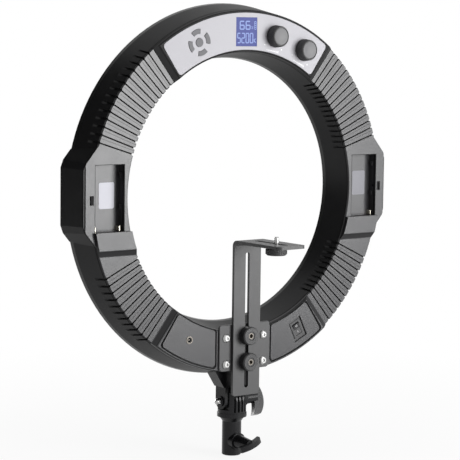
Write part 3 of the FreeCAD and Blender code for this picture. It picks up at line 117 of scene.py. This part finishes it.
class Finish:
    """A node material round one Principled shader."""

    def __init__(self, name, colour, roughness, metallic=0.0, **fixed):
        self.material = bpy.data.materials.new(name)
        self.material.use_nodes = True
        self.tree = self.material.node_tree
        self.shader = self.tree.nodes["Principled BSDF"]
        self.shader.inputs["Base Color"].default_value = (*colour, 1)
        self.shader.inputs["Roughness"].default_value = roughness
        self.shader.inputs["Metallic"].default_value = metallic
        for socket, number in fixed.items():
            self.shader.inputs[socket.replace("_", " ").title().replace("Ior", "IOR")].default_value = number

    def add(self, kind, settings=None, inputs=None, output=0):
        node = self.tree.nodes.new(kind)
        for name, setting in (settings or {}).items():
            setattr(node, name, setting)
        for name, source in (inputs or {}).items():
            if isinstance(source, Value):
                self.tree.links.new(source.socket, node.inputs[name])
            else:
                node.inputs[name].default_value = source
        return Value(self, node.outputs[output])

    def link(self, socket, value):
        self.tree.links.new(value.socket, self.shader.inputs[socket])

    def place(self, centre=(0, 0, 0)):
        """The X, Y and Z of a point of the surface, from a centre."""
        shifted = self.add("ShaderNodeVectorMath", {"operation": "SUBTRACT"}, {
            0: self.add("ShaderNodeTexCoord", output="Object"), 1: tuple(centre)})
        return [self.add("ShaderNodeSeparateXYZ", {}, {0: shifted}, output) for output in range(3)]

    def noise(self, scale, detail):
        return self.add("ShaderNodeTexNoise", {}, {
            "Vector": self.add("ShaderNodeTexCoord", output="Object"), "Scale": scale, "Detail": detail})

    def blend(self, factor, first, second):
        colours = [colour if isinstance(colour, Value) else (*colour, 1) for colour in (first, second)]
        return self.add("ShaderNodeMix", {"data_type": "RGBA"}, {0: factor, 6: colours[0], 7: colours[1]}, 2)

    def relief(self, height, distance, strength=1.0):
        self.link("Normal", self.add("ShaderNodeBump", {}, {
            "Height": height, "Distance": distance, "Strength": strength}))

    def matt(self, share, colour):
        """Mix in a second shader without a shine of its own, for a share of each point."""
        dull = self.add("ShaderNodeBsdfPrincipled", {}, {
            "Base Color": (*colour, 1), "Roughness": 0.9, "Specular IOR Level": 0.05})
        bright = Value(self, self.shader.outputs[0])
        mixed = self.add("ShaderNodeMixShader", {}, {0: share, 1: bright, 2: dull})
        self.tree.links.new(mixed.socket, self.tree.nodes["Material Output"].inputs["Surface"])

    def dress(self, *nodes):
        """Give the finish to CAD nodes."""
        for name in nodes:
            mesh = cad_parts[name].data
            mesh.materials.clear()
            mesh.materials.append(self.material)


tone_scale, wear_scale = 9, 60
wear = 0.1
pebble_height = 0.00012


def moulded(name, dark, light, roughness, pebble=0.3, pebbles=2600, gloss=0.5):
    """Moulded plastic: a fine pebbled skin, with slow changes of tone and of roughness."""
    finish = Finish(name, dark, roughness, specular_ior_level=gloss)
    finish.link("Base Color", finish.blend(finish.noise(tone_scale, 3), dark, light))
    finish.link("Roughness", finish.noise(wear_scale, 3) * wear + (roughness - wear / 2))
    finish.relief(finish.noise(pebbles, 1) * pebble, pebble_height)
    return finish


housing_plastic = moulded("housing_plastic", (0.020, 0.020, 0.022), (0.028, 0.028, 0.031), 0.31)
x, y, z = housing_plastic.place(RING_CENTRE)
angle = abs(x).angle_from(z)
radius = (x * x + z * z).root()
ribbed = sum((angle > first) * (angle < last) for first, last in rib_zones)
score = (abs(((angle - rib_zones[0][0]) / rib_pitch).share() - score_place) < score_half_width) * ribbed
score = score * (radius > score_inside) * (radius < score_outside)
looks_back = ((abs(y - back_face) < face_depth) + (y > plateau_face - face_depth)).clamped()
# Painted shade: thin near-black lines along the gaps round each battery bay. The mask also holds the back
# faces in the fascia's zone near black.
beside_bay = abs(abs(x) - bay_middle) - bay_half_width
above_bay = z - bay_top
beside_rim = (beside_bay > 0) * (beside_bay < bay_rim) * (above_bay < bay_rim) * (z > -bay_top)
upper_rim = (above_bay > 0) * (above_bay < bay_rim) * (beside_bay < bay_rim)
rim_shade = (beside_rim + upper_rim + (angle < fascia_zone)).clamped()
# Painted shade: groove floors and the stepped seats under the panels take almost only the near-black matt
# shader.
sunk_shade = (abs(y - groove_floor) < face_depth) + (abs(y - seat_floor) < seat_depth)
walls_matt_and_sunk_shade = (1 - looks_back) * (matt_share + sunk_shade * (groove_shade_share - matt_share))
score_and_rim_shade = looks_back * (score * score_share + rim_shade * rim_shade_share)
housing_plastic.matt(walls_matt_and_sunk_shade + score_and_rim_shade, matt_black)
housing_plastic.dress("rear_housing")

# Panels set into the housing, battery trays and their sprung catches. Separate mouldings in the same ABS,
# with a finer skin: the panels drop into stepped seats, and the trays close the bays from inside.
inset_plastic = moulded("inset_plastic", (0.022, 0.022, 0.024), (0.031, 0.031, 0.034), 0.31, 0.2, 3400)
inset_plastic.dress("left_battery_tray", "right_battery_tray", "jack_panel", "switch_panel")
latch_plastic = moulded("latch_plastic", (0.008, 0.008, 0.009), (0.012, 0.012, 0.013), 0.6, gloss=0.1)
latch_plastic.dress("left_battery_latch", "right_battery_latch")

# Trim rings at the front. Black ABS, smoother than the housing, set over its rim and round its bore, and
# holding the diffuser between them.
trim_plastic = moulded("trim_plastic", (0.011, 0.012, 0.011), (0.016, 0.017, 0.016), 0.30, 0.12)
trim_plastic.dress("outer_bezel", "inner_bezel")

# Diffuser. A milky acrylic sheet cut as a ring: behind it, two rows of warm and cool LEDs show through as
# soft spots, turn and turn about.
led_rows = (0.198, 0.224)
led_pitch = 7.5
spot_radius = 0.0055
spot_strength = 0.45
milky = Finish("milky_acrylic", (0.80, 0.80, 0.78), 0.40, subsurface_weight=0.1, subsurface_scale=0.002)
x, y, z = milky.place(RING_CENTRE)
turn = x.angle_from(z) / led_pitch + 0.5
aside = (turn.share() - 0.5) * math.radians(led_pitch)
radius = (x * x + z * z).root()
spots = sum((1 - ((radius - row) * (radius - row) + aside * aside * row * row).root() / spot_radius).clamped()
            for row in led_rows)
warm = (turn * 0.5).share() > 0.5
tint = milky.blend(warm, (0.66, 0.70, 0.72), (0.78, 0.66, 0.40))
milky.link("Base Color", milky.blend(spots * spot_strength, milky.blend(
    milky.noise(14, 2), (0.80, 0.80, 0.78), (0.84, 0.84, 0.82)), tint))
milky.link("Roughness", milky.noise(240, 2) * 0.08 + 0.36)
milky.relief(milky.noise(3800, 1), 0.00003, 0.4)
milky.dress("diffuser")

# Light engine and electronics. Glass-fibre boards under green lacquer with tracks in copper, carrying white
# LED packages whose phosphor is yellow.
lacquer = Finish("board_lacquer", (0.02, 0.10, 0.05), 0.35)
track = abs((lacquer.noise(55, 0) * 24).share() - 0.5) < 0.1
lacquer.link("Base Color", lacquer.blend(track, lacquer.blend(
    lacquer.noise(120, 4), (0.012, 0.075, 0.035), (0.022, 0.105, 0.05)), (0.05, 0.19, 0.07)))
lacquer.link("Roughness", lacquer.noise(300, 2) * 0.15 + 0.25)
lacquer.relief(track, 0.00004)
lacquer.dress("led_board", "control_board", "power_board")
phosphor = Finish("led_phosphor", (0.85, 0.70, 0.25), 0.4)
phosphor.link("Base Color", phosphor.blend(phosphor.noise(90, 1), (0.85, 0.66, 0.20), (0.90, 0.84, 0.62)))
phosphor.link("Roughness", phosphor.noise(900, 1) * 0.1 + 0.35)
phosphor.dress("led_array")

# Control fascia. A thin curved panel, sprayed silver with a fine flake, and printed in white with a rising
# scale, a minus and a plus under each dial.
silver = Finish("silver_paint", (0.40, 0.40, 0.42), 0.42, specular_ior_level=0.2)
flake = silver.noise(2600, 1)
silver.link("Base Color", silver.blend(
    flake, silver.blend(silver.noise(7, 2), (0.34, 0.335, 0.36), (0.39, 0.385, 0.41)), (0.46, 0.455, 0.48)))
silver.link("Roughness", flake * 0.15 + 0.36)
silver.relief(flake, 0.00003, 0.5)
silver.dress("control_fascia")

print_height = 0.00006
scale_ring = 0.0192
scale_ticks = 11
scale_pitch = 0.0019
scale_low, scale_high = 0.0009, 0.0030
tick_width = 0.0008
point_stretch = 1.7
sign_across, sign_along = 0.0145, 0.0045
sign_half_length, sign_width = 0.0012, 0.0006
white_print = Finish("white_print", (0.80, 0.80, 0.80), 0.5)
white_print.link("Base Color", white_print.blend(
    white_print.noise(1800, 2), (0.74, 0.74, 0.74), (0.84, 0.84, 0.84)))


def settle(name, body, finish):
    """Name the piece that was just made, put its place in its mesh and let it ride on a body."""
    piece = bpy.context.object
    piece.name = name
    piece.data.name = name
    bpy.ops.object.transform_apply(location=True, rotation=True, scale=True)
    piece.data.materials.clear()
    piece.data.materials.append(finish.material)
    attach(piece, body)


def apply_modifier(kind, **settings):
    modifier = bpy.context.object.modifiers.new(kind.title(), kind)
    for name, setting in settings.items():
        setattr(modifier, name, setting)
    bpy.ops.object.modifier_apply(modifier=modifier.name)


def choose(part, test):
    """Leave edit mode's selection at the faces, edges or vertices that a test picks."""
    bpy.ops.mesh.select_mode(type=part)
    bpy.ops.mesh.select_all(action="DESELECT")
    bpy.ops.object.mode_set(mode="OBJECT")
    mesh = bpy.context.object.data
    for item in {"FACE": mesh.polygons, "EDGE": mesh.edges, "VERT": mesh.vertices}[part]:
        item.select = test(item)
    bpy.ops.object.mode_set(mode="EDIT")


def join_copies(start, matrices):
    """Replace the piece that was just made by one copy for each matrix, all joined."""
    bpy.ops.object.select_all(action="DESELECT")
    for matrix in matrices:
        copy = start.copy()
        copy.data = start.data.copy()
        bpy.context.collection.objects.link(copy)
        copy.matrix_world = matrix
        copy.select_set(True)
    bpy.context.view_layer.objects.active = copy
    bpy.data.objects.remove(start)
    if len(matrices) > 1:
        bpy.ops.object.join()


ray_start = 1


def surface_of(node, place, sideways):
    """The matrix of a flat drawing on a CAD node's back, where a line along Y meets it."""
    behind = Vector((place.x, ray_start, place.z))
    spot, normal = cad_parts[node].ray_cast(behind, Vector((0, -1, 0)))[1:3]
    across = (sideways - normal * sideways.dot(normal)).normalized()
    turned = Matrix((across, normal.cross(across), normal)).transposed().to_4x4()
    return Matrix.Translation(spot) @ turned


def printed(name, body, finish, surface, strokes):
    """Strokes of print on a surface. Each is a bar with pointed ends, given by its ends and its width."""
    bpy.ops.object.select_all(action="DESELECT")
    bpy.ops.mesh.primitive_circle_add(vertices=6, radius=0.5, fill_type="NGON", rotation=(0, 0, math.pi / 2))
    bpy.ops.object.transform_apply(location=False, rotation=True, scale=True)
    bpy.ops.object.mode_set(mode="EDIT")
    choose("VERT", lambda vertex: abs(vertex.co.y) > 0.3)
    bpy.ops.transform.resize(value=(point_stretch, 1, 1))
    bpy.ops.object.mode_set(mode="OBJECT")
    apply_modifier("SOLIDIFY", thickness=1, offset=0)
    matrices = []
    for start, end, width in strokes:
        run = Vector(end) - Vector(start)
        middle = (Vector(start) + Vector(end)) / 2
        matrices.append(surface @ Matrix.Translation((*middle, print_height / 2))
                        @ Matrix.Rotation(math.atan2(run.y, run.x), 4, "Z")
                        @ Matrix.Diagonal((run.length, width / math.cos(math.radians(30)), print_height, 1)))
    join_copies(bpy.context.object, matrices)
    settle(name, body, finish)


def outwards_from_ring(place):
    """The direction from the ring's centre to a place, and the one across it, to the right from behind."""
    outwards = Vector((place.x - RING_CENTRE.x, 0, place.z - RING_CENTRE.z)).normalized()
    return outwards, Vector((-outwards.z, 0, outwards.x))


for dial in ("brightness", "colour"):
    low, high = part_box(f"{dial}_knob")
    centre = (low + high) / 2
    outwards, sideways = outwards_from_ring(centre)
    strokes = []
    for tick in range(scale_ticks):
        across = (tick - (scale_ticks - 1) / 2) * scale_pitch
        height = scale_low + (scale_high - scale_low) * tick / (scale_ticks - 1)
        strokes.append(((across, -scale_high / 2), (across, height - scale_high / 2), tick_width))
    for across in (-sign_across, sign_across):
        ends = (across - sign_half_length, sign_along), (across + sign_half_length, sign_along)
        strokes.append((*ends, sign_width))
    ends = (sign_across, sign_along - sign_half_length), (sign_across, sign_along + sign_half_length)
    strokes.append((*ends, sign_width))
    printed(f"{dial}_scale", "ring_head", white_print,
            surface_of("control_fascia", centre - outwards * scale_ring, sideways), strokes)

# Display. A clear acrylic pane over a blue backlit liquid crystal, with plain segment digits: a level in
# percent, a number of kelvins and a battery gauge.
cells_per_metre = 1250
cell_edge = 0.44
cell_strength = 0.3
pane = Finish("display_pane", (0.045, 0.055, 0.19), 0.30, specular_ior_level=0.08)
x, y, z = pane.place()
cells = sum(abs((along * cells_per_metre).share() - 0.5) > cell_edge for along in (x, z)).clamped()
pane.link("Base Color", pane.blend(cells * cell_strength, pane.blend(
    pane.noise(30, 2), (0.055, 0.068, 0.225), (0.065, 0.080, 0.25)), (0.04, 0.05, 0.19)))
pane.dress("display_window")
crystal = Finish("lit_digits", (0.24, 0.31, 0.58), 0.3, specular_ior_level=0.08)
crystal.link("Base Color", crystal.blend(crystal.noise(400, 1), (0.21, 0.28, 0.54), (0.27, 0.34, 0.62)))

digit_segments = {"0": "abcdef", "2": "abged", "5": "afgcd", "6": "afgedc"}
gauge_left, gauge_right, gauge_top, gauge_low = 0.0130, 0.0158, 0.0136, 0.0034
gauge_cells = 4
percent_sign = (((0.0082, 0.0034), (0.0108, 0.0074)), ((0.0079, 0.0068), (0.0091, 0.0068)),
                ((0.0099, 0.0040), (0.0111, 0.0040)))
kelvin_sign = (((0.0126, -0.0142), (0.0126, -0.0086)), ((0.0126, -0.0114), (0.0156, -0.0086)),
               ((0.0126, -0.0114), (0.0156, -0.0142)))
fine_stroke = 0.0008


def digit_strokes(digit, left, top, width, height, weight):
    """The strokes of a seven-segment digit, given from its upper left corner."""
    right, middle, low = left + width, top - height / 2, top - height
    ends = {"a": ((left, top), (right, top)), "b": ((right, top), (right, middle)),
            "c": ((right, middle), (right, low)), "d": ((left, low), (right, low)),
            "e": ((left, middle), (left, low)), "f": ((left, top), (left, middle)),
            "g": ((left, middle), (right, middle))}
    return [(*ends[segment], weight) for segment in digit_segments[digit]]


strokes = []
for number, left, top, width, height, pitch, weight in (
        ("66", -0.0108, 0.0136, 0.0066, 0.0102, 0.0098, 0.0016),
        ("5200", -0.0147, -0.0020, 0.0045, 0.0123, 0.0069, 0.0014)):
    for place, digit in enumerate(number):
        strokes += digit_strokes(digit, left + place * pitch, top, width, height, weight)
gauge = [((side, gauge_low), (side, gauge_top)) for side in (gauge_left, gauge_right)]
for step in range(gauge_cells + 1):
    level = gauge_low + (gauge_top - gauge_low) * step / gauge_cells
    gauge.append(((gauge_left, level), (gauge_right, level)))
strokes += [(*ends, fine_stroke) for ends in (*gauge, *percent_sign, *kelvin_sign)]
low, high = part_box("display_window")
printed("display_digits", "ring_head", crystal,
        surface_of("display_window", (low + high) / 2, Vector((-1, 0, 0))), strokes)

# Dials. ABS knobs pushed on the encoders' spindles, with fine grip ridges round the side and a turned cap
# under grey lacquer in the dish at the front.
dial_plastic = moulded("dial_plastic", (0.014, 0.014, 0.015), (0.020, 0.020, 0.021), 0.38, 0.15)
dial_plastic.dress("brightness_knob", "colour_knob")
dial_ridges = 60
dial_ridge_width = 0.0006
dial_ridge_low, dial_ridge_high = (0.0145, 0.0012), (0.01342, 0.0114)
cap_radius = 0.01085
cap_rim = 0.0016
cap_thickness = 0.0005
lathe_marks = 26000
dish_depth = 0.0007


def ridged(name, body, finish, centre, axis, low, high, count, width):
    """Grip ridges round a knob, half sunk in its side. Their ends are a radius and a level on the axis."""
    run = Vector((high[0] - low[0], 0, high[1] - low[1]))
    bpy.ops.object.select_all(action="DESELECT")
    bpy.ops.mesh.primitive_cylinder_add(vertices=8, radius=width / 2, depth=run.length)
    bpy.ops.object.mode_set(mode="EDIT")
    choose("FACE", lambda face: abs(face.normal.z) > 0.9)
    bpy.ops.mesh.inset(thickness=width / 8, depth=width / 8)
    bpy.ops.object.mode_set(mode="OBJECT")
    on_axis = Matrix.Translation(centre) @ Vector((0, 0, 1)).rotation_difference(axis).to_matrix().to_4x4()
    on_side = (Matrix.Translation(((low[0] + high[0]) / 2, 0, (low[1] + high[1]) / 2))
               @ Matrix.Rotation(math.atan2(run.x, run.z), 4, "Y"))
    join_copies(bpy.context.object, [
        on_axis @ Matrix.Rotation(2 * math.pi * step / count, 4, "Z") @ on_side for step in range(count)])
    settle(name, body, finish)


for dial in ("brightness", "colour"):
    low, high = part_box(f"{dial}_knob")
    centre = (low + high) / 2
    centre.y = low.y
    ridged(f"{dial}_ridges", f"{dial}_dial", dial_plastic, centre, Vector((0, 1, 0)),
           dial_ridge_low, dial_ridge_high, dial_ridges, dial_ridge_width)

    turned = Finish(f"{dial}_cap_lacquer", (0.16, 0.16, 0.165), 0.42, specular_ior_level=0.3)
    x, y, z = turned.place(centre)
    lathe = ((x * x + z * z).root() * lathe_marks).wave() * 0.5 + 0.5
    turned.link("Base Color", turned.blend(turned.noise(40, 3), (0.12, 0.12, 0.125), (0.16, 0.16, 0.165)))
    turned.link("Roughness", lathe * 0.12 + 0.36)
    turned.relief(lathe, 0.00002, 0.6)
    bpy.ops.object.select_all(action="DESELECT")
    bpy.ops.mesh.primitive_cylinder_add(
        vertices=72, radius=cap_radius, depth=cap_thickness, rotation=(math.pi / 2, 0, 0),
        location=(centre.x, high.y - dish_depth + cap_thickness / 2, centre.z))
    bpy.ops.object.transform_apply(location=False, rotation=True, scale=True)
    bpy.ops.object.mode_set(mode="EDIT")
    choose("FACE", lambda face: face.normal.y > 0.9)
    bpy.ops.mesh.inset(thickness=cap_rim, depth=0)
    bpy.ops.mesh.inset(thickness=cap_rim / 4, depth=-cap_thickness / 3)
    bpy.ops.object.mode_set(mode="OBJECT")
    apply_modifier("BEVEL", width=cap_thickness / 6, segments=2, limit_method="ANGLE")
    bpy.ops.object.shade_smooth_by_angle(angle=math.radians(30))
    settle(f"{dial}_cap", f"{dial}_dial", turned)

# Keys. A round one and four curved ones in silicone rubber, each standing just proud of the fascia over its
# own switch.
key_face = 0.02895
key_shade_depth = 0.0003
key_rubber = moulded("key_rubber", (0.09, 0.09, 0.097), (0.12, 0.12, 0.128), 0.6, 0.25, 3000)
x, y, z = key_rubber.place(RING_CENTRE)
# Painted shade: below its face the side of each key takes a near-black matt shader, which outlines the key.
key_rubber.matt(y < key_face - key_shade_depth, (0.02, 0.02, 0.02))
key_rubber.dress("menu_button", "up_button", "down_button", "left_button", "right_button")

# Bright metal. Nickel-plated steel screws, spindles and encoder cases, with fine turning marks and a little
# uneven polish.
bright_steel = Finish("bright_steel", (0.42, 0.42, 0.42), 0.28, metallic=1.0)
bright_steel.link("Base Color", bright_steel.blend(
    bright_steel.noise(90, 3), (0.36, 0.36, 0.355), (0.48, 0.48, 0.475)))
bright_steel.link("Roughness", bright_steel.noise(500, 3) * 0.2 + 0.18)
bright_steel.relief(bright_steel.noise(2200, 2), 0.00002, 0.5)
bright_steel.dress("upper_left_plate_screw", "upper_right_plate_screw", "lower_left_plate_screw",
                   "lower_right_plate_screw", "camera_stud",
                   "tilt_bolt", "tilt_nut", "stand_lock_screw", "brightness_shaft", "colour_shaft",
                   "brightness_encoder", "colour_encoder")

# Yellowed zinc. The inlet's barrel and pin and the clamp knobs' socket screws, plated and passivated, are a
# duller and warmer metal than the nickel.
zinc_steel = Finish("zinc_steel", (0.14, 0.13, 0.115), 0.3, metallic=1.0)
zinc_steel.link("Base Color", zinc_steel.blend(
    zinc_steel.noise(300, 3), (0.11, 0.10, 0.088), (0.18, 0.165, 0.145)))
zinc_steel.link("Roughness", zinc_steel.noise(600, 2) * 0.15 + 0.25)
zinc_steel.dress("dc_jack_sleeve", "dc_jack_pin", "upper_clamp_screw", "lower_clamp_screw")

# Battery bays. Contact blades in tinned brass stand at the foot of each tray, and a blank film label is
# stuck on its floor.
brass = Finish("contact_metal", (0.80, 0.76, 0.66), 0.3, metallic=1.0)
brass.link("Base Color", brass.blend(brass.noise(160, 3), (0.74, 0.69, 0.55), (0.84, 0.81, 0.72)))
brass.link("Roughness", brass.noise(400, 3) * 0.15 + 0.25)
brass.dress("left_battery_contacts", "right_battery_contacts")
label_width, label_height, label_thickness = 0.023, 0.0333, 0.00015
label_corner = 0.0022
label_border = 0.0008
label_level = RING_CENTRE.z + 0.0033


def upright(edge):
    """Whether an edge of the active mesh runs along Z."""
    first, second = (bpy.context.object.data.vertices[end].co for end in edge.vertices)
    return first.xy == second.xy


# The right label's film is painted darker than the left's, as painted shade.
for side, across, pale, deep in (
        ("left", 0.209, (0.46, 0.46, 0.51), (0.41, 0.41, 0.46)),
        ("right", -0.213, (0.15, 0.15, 0.17), (0.12, 0.12, 0.14))):
    film = Finish(f"{side}_label_film", pale, 0.4)
    film.link("Base Color", film.blend(film.noise(25, 3), deep, pale))
    film.link("Roughness", film.noise(300, 2) * 0.15 + 0.32)
    bpy.ops.object.select_all(action="DESELECT")
    bpy.ops.mesh.primitive_cube_add(size=1, scale=(label_width, label_height, label_thickness))
    bpy.ops.object.transform_apply(location=False, rotation=False, scale=True)
    label = bpy.context.object
    bpy.ops.object.mode_set(mode="EDIT")
    choose("EDGE", upright)
    bpy.ops.mesh.bevel(offset=label_corner, segments=4, affect="EDGES")
    choose("FACE", lambda face: face.normal.z > 0.9)
    bpy.ops.mesh.inset(thickness=label_border, depth=0)
    bpy.ops.mesh.inset(thickness=label_border / 4, depth=-label_thickness / 4)
    bpy.ops.object.mode_set(mode="OBJECT")
    floor_spot = surface_of(f"{side}_battery_tray", Vector((across, 0, label_level)), Vector((-1, 0, 0)))
    label.matrix_world = floor_spot @ Matrix.Translation((0, 0, label_thickness / 2))
    settle(f"{side}_label", "ring_head", film)

# Power inlet and mains rocker. Black glass-filled nylon: the rocker carries a white bar and a white ring
# for on and off.
black_plastic = moulded("black_plastic", (0.010, 0.010, 0.011), (0.016, 0.016, 0.017), 0.36, 0.2)
black_plastic.dress("display_module", "tact_switches", "dc_jack_core", "switch_frame", "power_rocker")
mark_at = 0.0045
mark_radius = 0.0013
mark_width = 0.0005
ring_sides = 12
turns = [2 * math.pi * side / ring_sides for side in range(ring_sides + 1)]
corners = [(mark_radius * math.cos(turn), mark_radius * math.sin(turn)) for turn in turns]
low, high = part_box("power_rocker")
centre = (low + high) / 2
outwards, sideways = outwards_from_ring(centre)
for name, reach, strokes in (
        ("rocker_on_mark", mark_at, [((0, -mark_radius), (0, mark_radius), mark_width)]),
        ("rocker_off_mark", -mark_at, [(*ends, mark_width) for ends in zip(corners, corners[1:])])):
    surface = surface_of("power_rocker", centre + outwards * reach, sideways)
    printed(name, "rocker", white_print, surface, strokes)

# Mount plate and camera arm. A steel plate with a powder coat and a bent aluminium bar, anodised black. Both
# are satin black with a slight grain, and share one finish.
powder_coat = moulded("powder_coat", (0.030, 0.030, 0.031), (0.040, 0.040, 0.041), 0.45, 0.5, 1500)
powder_coat.dress("mount_plate", "camera_arm")

# Thumb knobs. Black nylon moulded round steel studs with a hexagon socket: two clamp the arm to the plate,
# and a ridged one under the shelf turns the camera screw.
grip_nylon = moulded("grip_nylon", (0.010, 0.010, 0.011), (0.016, 0.016, 0.017), 0.34, 0.25, 2200)
grip_nylon.dress("upper_clamp_knob", "lower_clamp_knob", "camera_washer", "camera_knob")
camera_ridges = 36
camera_ridge_width = 0.0012
camera_ridge_end = 0.0018
low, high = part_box("camera_knob")
camera_knob_radius = (high.x - low.x) / 2
ridged("camera_knob_ridges", "camera_screw", grip_nylon,
       Vector(((low.x + high.x) / 2, (low.y + high.y) / 2, low.z)), Vector((0, 0, 1)),
       (camera_knob_radius, camera_ridge_end), (camera_knob_radius, high.z - low.z - camera_ridge_end),
       camera_ridges, camera_ridge_width)

# Tilt joint and stand adapter. A saddle in glass-filled nylon hangs from the ring with two ears round the
# adapter's tongue: a bolt with a wing clamps them, against blackened washers and a bright acorn nut.
joint_nylon = moulded("joint_nylon", (0.008, 0.008, 0.009), (0.012, 0.012, 0.013), 0.26, 0.2, 2000, 0.22)
joint_nylon.dress("tilt_yoke", "tilt_wing", "stand_adapter", "stand_lock_wing")
black_steel = Finish("black_steel", (0.02, 0.02, 0.022), 0.35, metallic=0.7)
black_steel.link("Base Color", black_steel.blend(
    black_steel.noise(80, 3), (0.015, 0.015, 0.017), (0.03, 0.03, 0.032)))
black_steel.link("Roughness", black_steel.noise(400, 2) * 0.15 + 0.28)
black_steel.dress("nut_washer", "wing_washer")

# The view. It looks at the ring's back from the left and a little above its middle, through a long lens.
# Its place, turn and length in pixels are those that put the ring's edges on those of the photograph.
view_azimuth = math.radians(37.54)
view_elevation = math.radians(6.06)
view_roll = math.radians(0.73)
view_distance = 2.5735
view_across = -0.00323
view_down = -0.05239
focal_pixels = 1930.7
image_pixels = 460
sensor_width = 36
clip_end = 50
backwards = Vector((math.sin(view_azimuth) * math.cos(view_elevation),
                    math.cos(view_azimuth) * math.cos(view_elevation), math.sin(view_elevation)))
level_right = Vector((0, 0, 1)).cross(backwards).normalized()
level_up = backwards.cross(level_right)
right = level_right * math.cos(view_roll) + level_up * math.sin(view_roll)
up = level_up * math.cos(view_roll) - level_right * math.sin(view_roll)
camera_data = bpy.data.cameras.new("camera")
camera_data.sensor_width = sensor_width
camera_data.lens = focal_pixels / image_pixels * sensor_width
camera_data.clip_end = clip_end
camera = bpy.data.objects.new("camera", camera_data)
bpy.context.collection.objects.link(camera)
camera.matrix_world = Matrix((right, up, backwards)).transposed().to_4x4()
camera.location = RING_CENTRE + backwards * view_distance + right * view_across + up * view_down
bpy.context.scene.camera = camera
bpy.context.scene.view_settings.view_transform = "Standard"

# The set. A white floor under the adapter, one large soft lamp that the ring's back mirrors, and a weaker one
# in front of the ring. Near the object the floor keeps a share of its shadow. Further off it is plain white.
floor_size = 30
shadow_share = 0.12
shadow_reach = 0.9
bpy.ops.object.select_all(action="DESELECT")
bpy.ops.mesh.primitive_plane_add(size=floor_size)
floor = bpy.context.object
floor.name = "floor"
white = Finish("set_white", (0.8, 0.8, 0.8), 0.9)
white.link("Base Color", white.blend(white.noise(3, 2), (0.78, 0.78, 0.78), (0.82, 0.82, 0.82)))
x, y, z = white.place()
seen = sum(white.add("ShaderNodeLightPath", output=ray)
           for ray in ("Is Camera Ray", "Is Glossy Ray", "Is Transmission Ray")).clamped()
shadow = (1 - (x * x + y * y).root() / shadow_reach).clamped() * shadow_share
glow = white.add("ShaderNodeEmission", {}, {"Color": (1, 1, 1, 1), "Strength": 1.0})
mixed = white.add("ShaderNodeMixShader", {}, {
    0: seen * (1 - shadow), 1: Value(white, white.shader.outputs[0]), 2: glow})
white.tree.links.new(mixed.socket, white.tree.nodes["Material Output"].inputs["Surface"])
floor.data.materials.append(white.material)

# A panel in black felt stands beside the ring, out of sight. The side walls mirror it in place of the white
# surroundings, so they stay as dark as their plastic.
flag_side = 3.2
flag_place = (1.45, -1.85, 1.1)
bpy.ops.object.select_all(action="DESELECT")
bpy.ops.mesh.primitive_plane_add(size=flag_side, location=flag_place)
flag = bpy.context.object
flag.name = "flag"
flag.rotation_euler = (RING_CENTRE - flag.location).to_track_quat("Z", "Y").to_euler()
flag.visible_camera = False
felt = Finish("flag_felt", (0.01, 0.01, 0.01), 0.9, specular_ior_level=0.1)
felt.link("Base Color", felt.blend(felt.noise(40, 2), (0.008, 0.008, 0.008), (0.012, 0.012, 0.012)))
flag.data.materials.append(felt.material)

# Plain white all round. It is at full strength where it is seen, mirrored or looked at through something
# clear, and lights the object at a fifth of that.
world_light = 0.2
world = bpy.data.worlds.new("plain_white")
world.use_nodes = True
bpy.context.scene.world = world
sky = world.node_tree.nodes["Background"]
sky.inputs["Color"].default_value = (1, 1, 1, 1)
paths = world.node_tree.nodes.new("ShaderNodeLightPath")
strongest = None
for ray in ("Is Camera Ray", "Is Glossy Ray", "Is Transmission Ray"):
    either = world.node_tree.nodes.new("ShaderNodeMath")
    either.operation = "MAXIMUM"
    either.inputs[0].default_value = world_light
    if strongest:
        world.node_tree.links.new(strongest, either.inputs[0])
    world.node_tree.links.new(paths.outputs[ray], either.inputs[1])
    strongest = either.outputs[0]
world.node_tree.links.new(strongest, sky.inputs["Strength"])

for name, place, width, height, power in (
        ("key_lamp", (-0.85, 1.60, 0.57), 1.15, 1.15, 44),
        ("front_lamp", (0.0, -2.0, 0.5), 1.0, 1.0, 28)):
    lamp_data = bpy.data.lights.new(name, "AREA")
    lamp_data.shape = "RECTANGLE"
    lamp_data.size = width
    lamp_data.size_y = height
    lamp_data.energy = power
    lamp = bpy.data.objects.new(name, lamp_data)
    bpy.context.collection.objects.link(lamp)
    lamp.location = place
    lamp.rotation_euler = (RING_CENTRE - Vector(place)).to_track_quat("-Z", "Y").to_euler()
    lamp.visible_camera = False
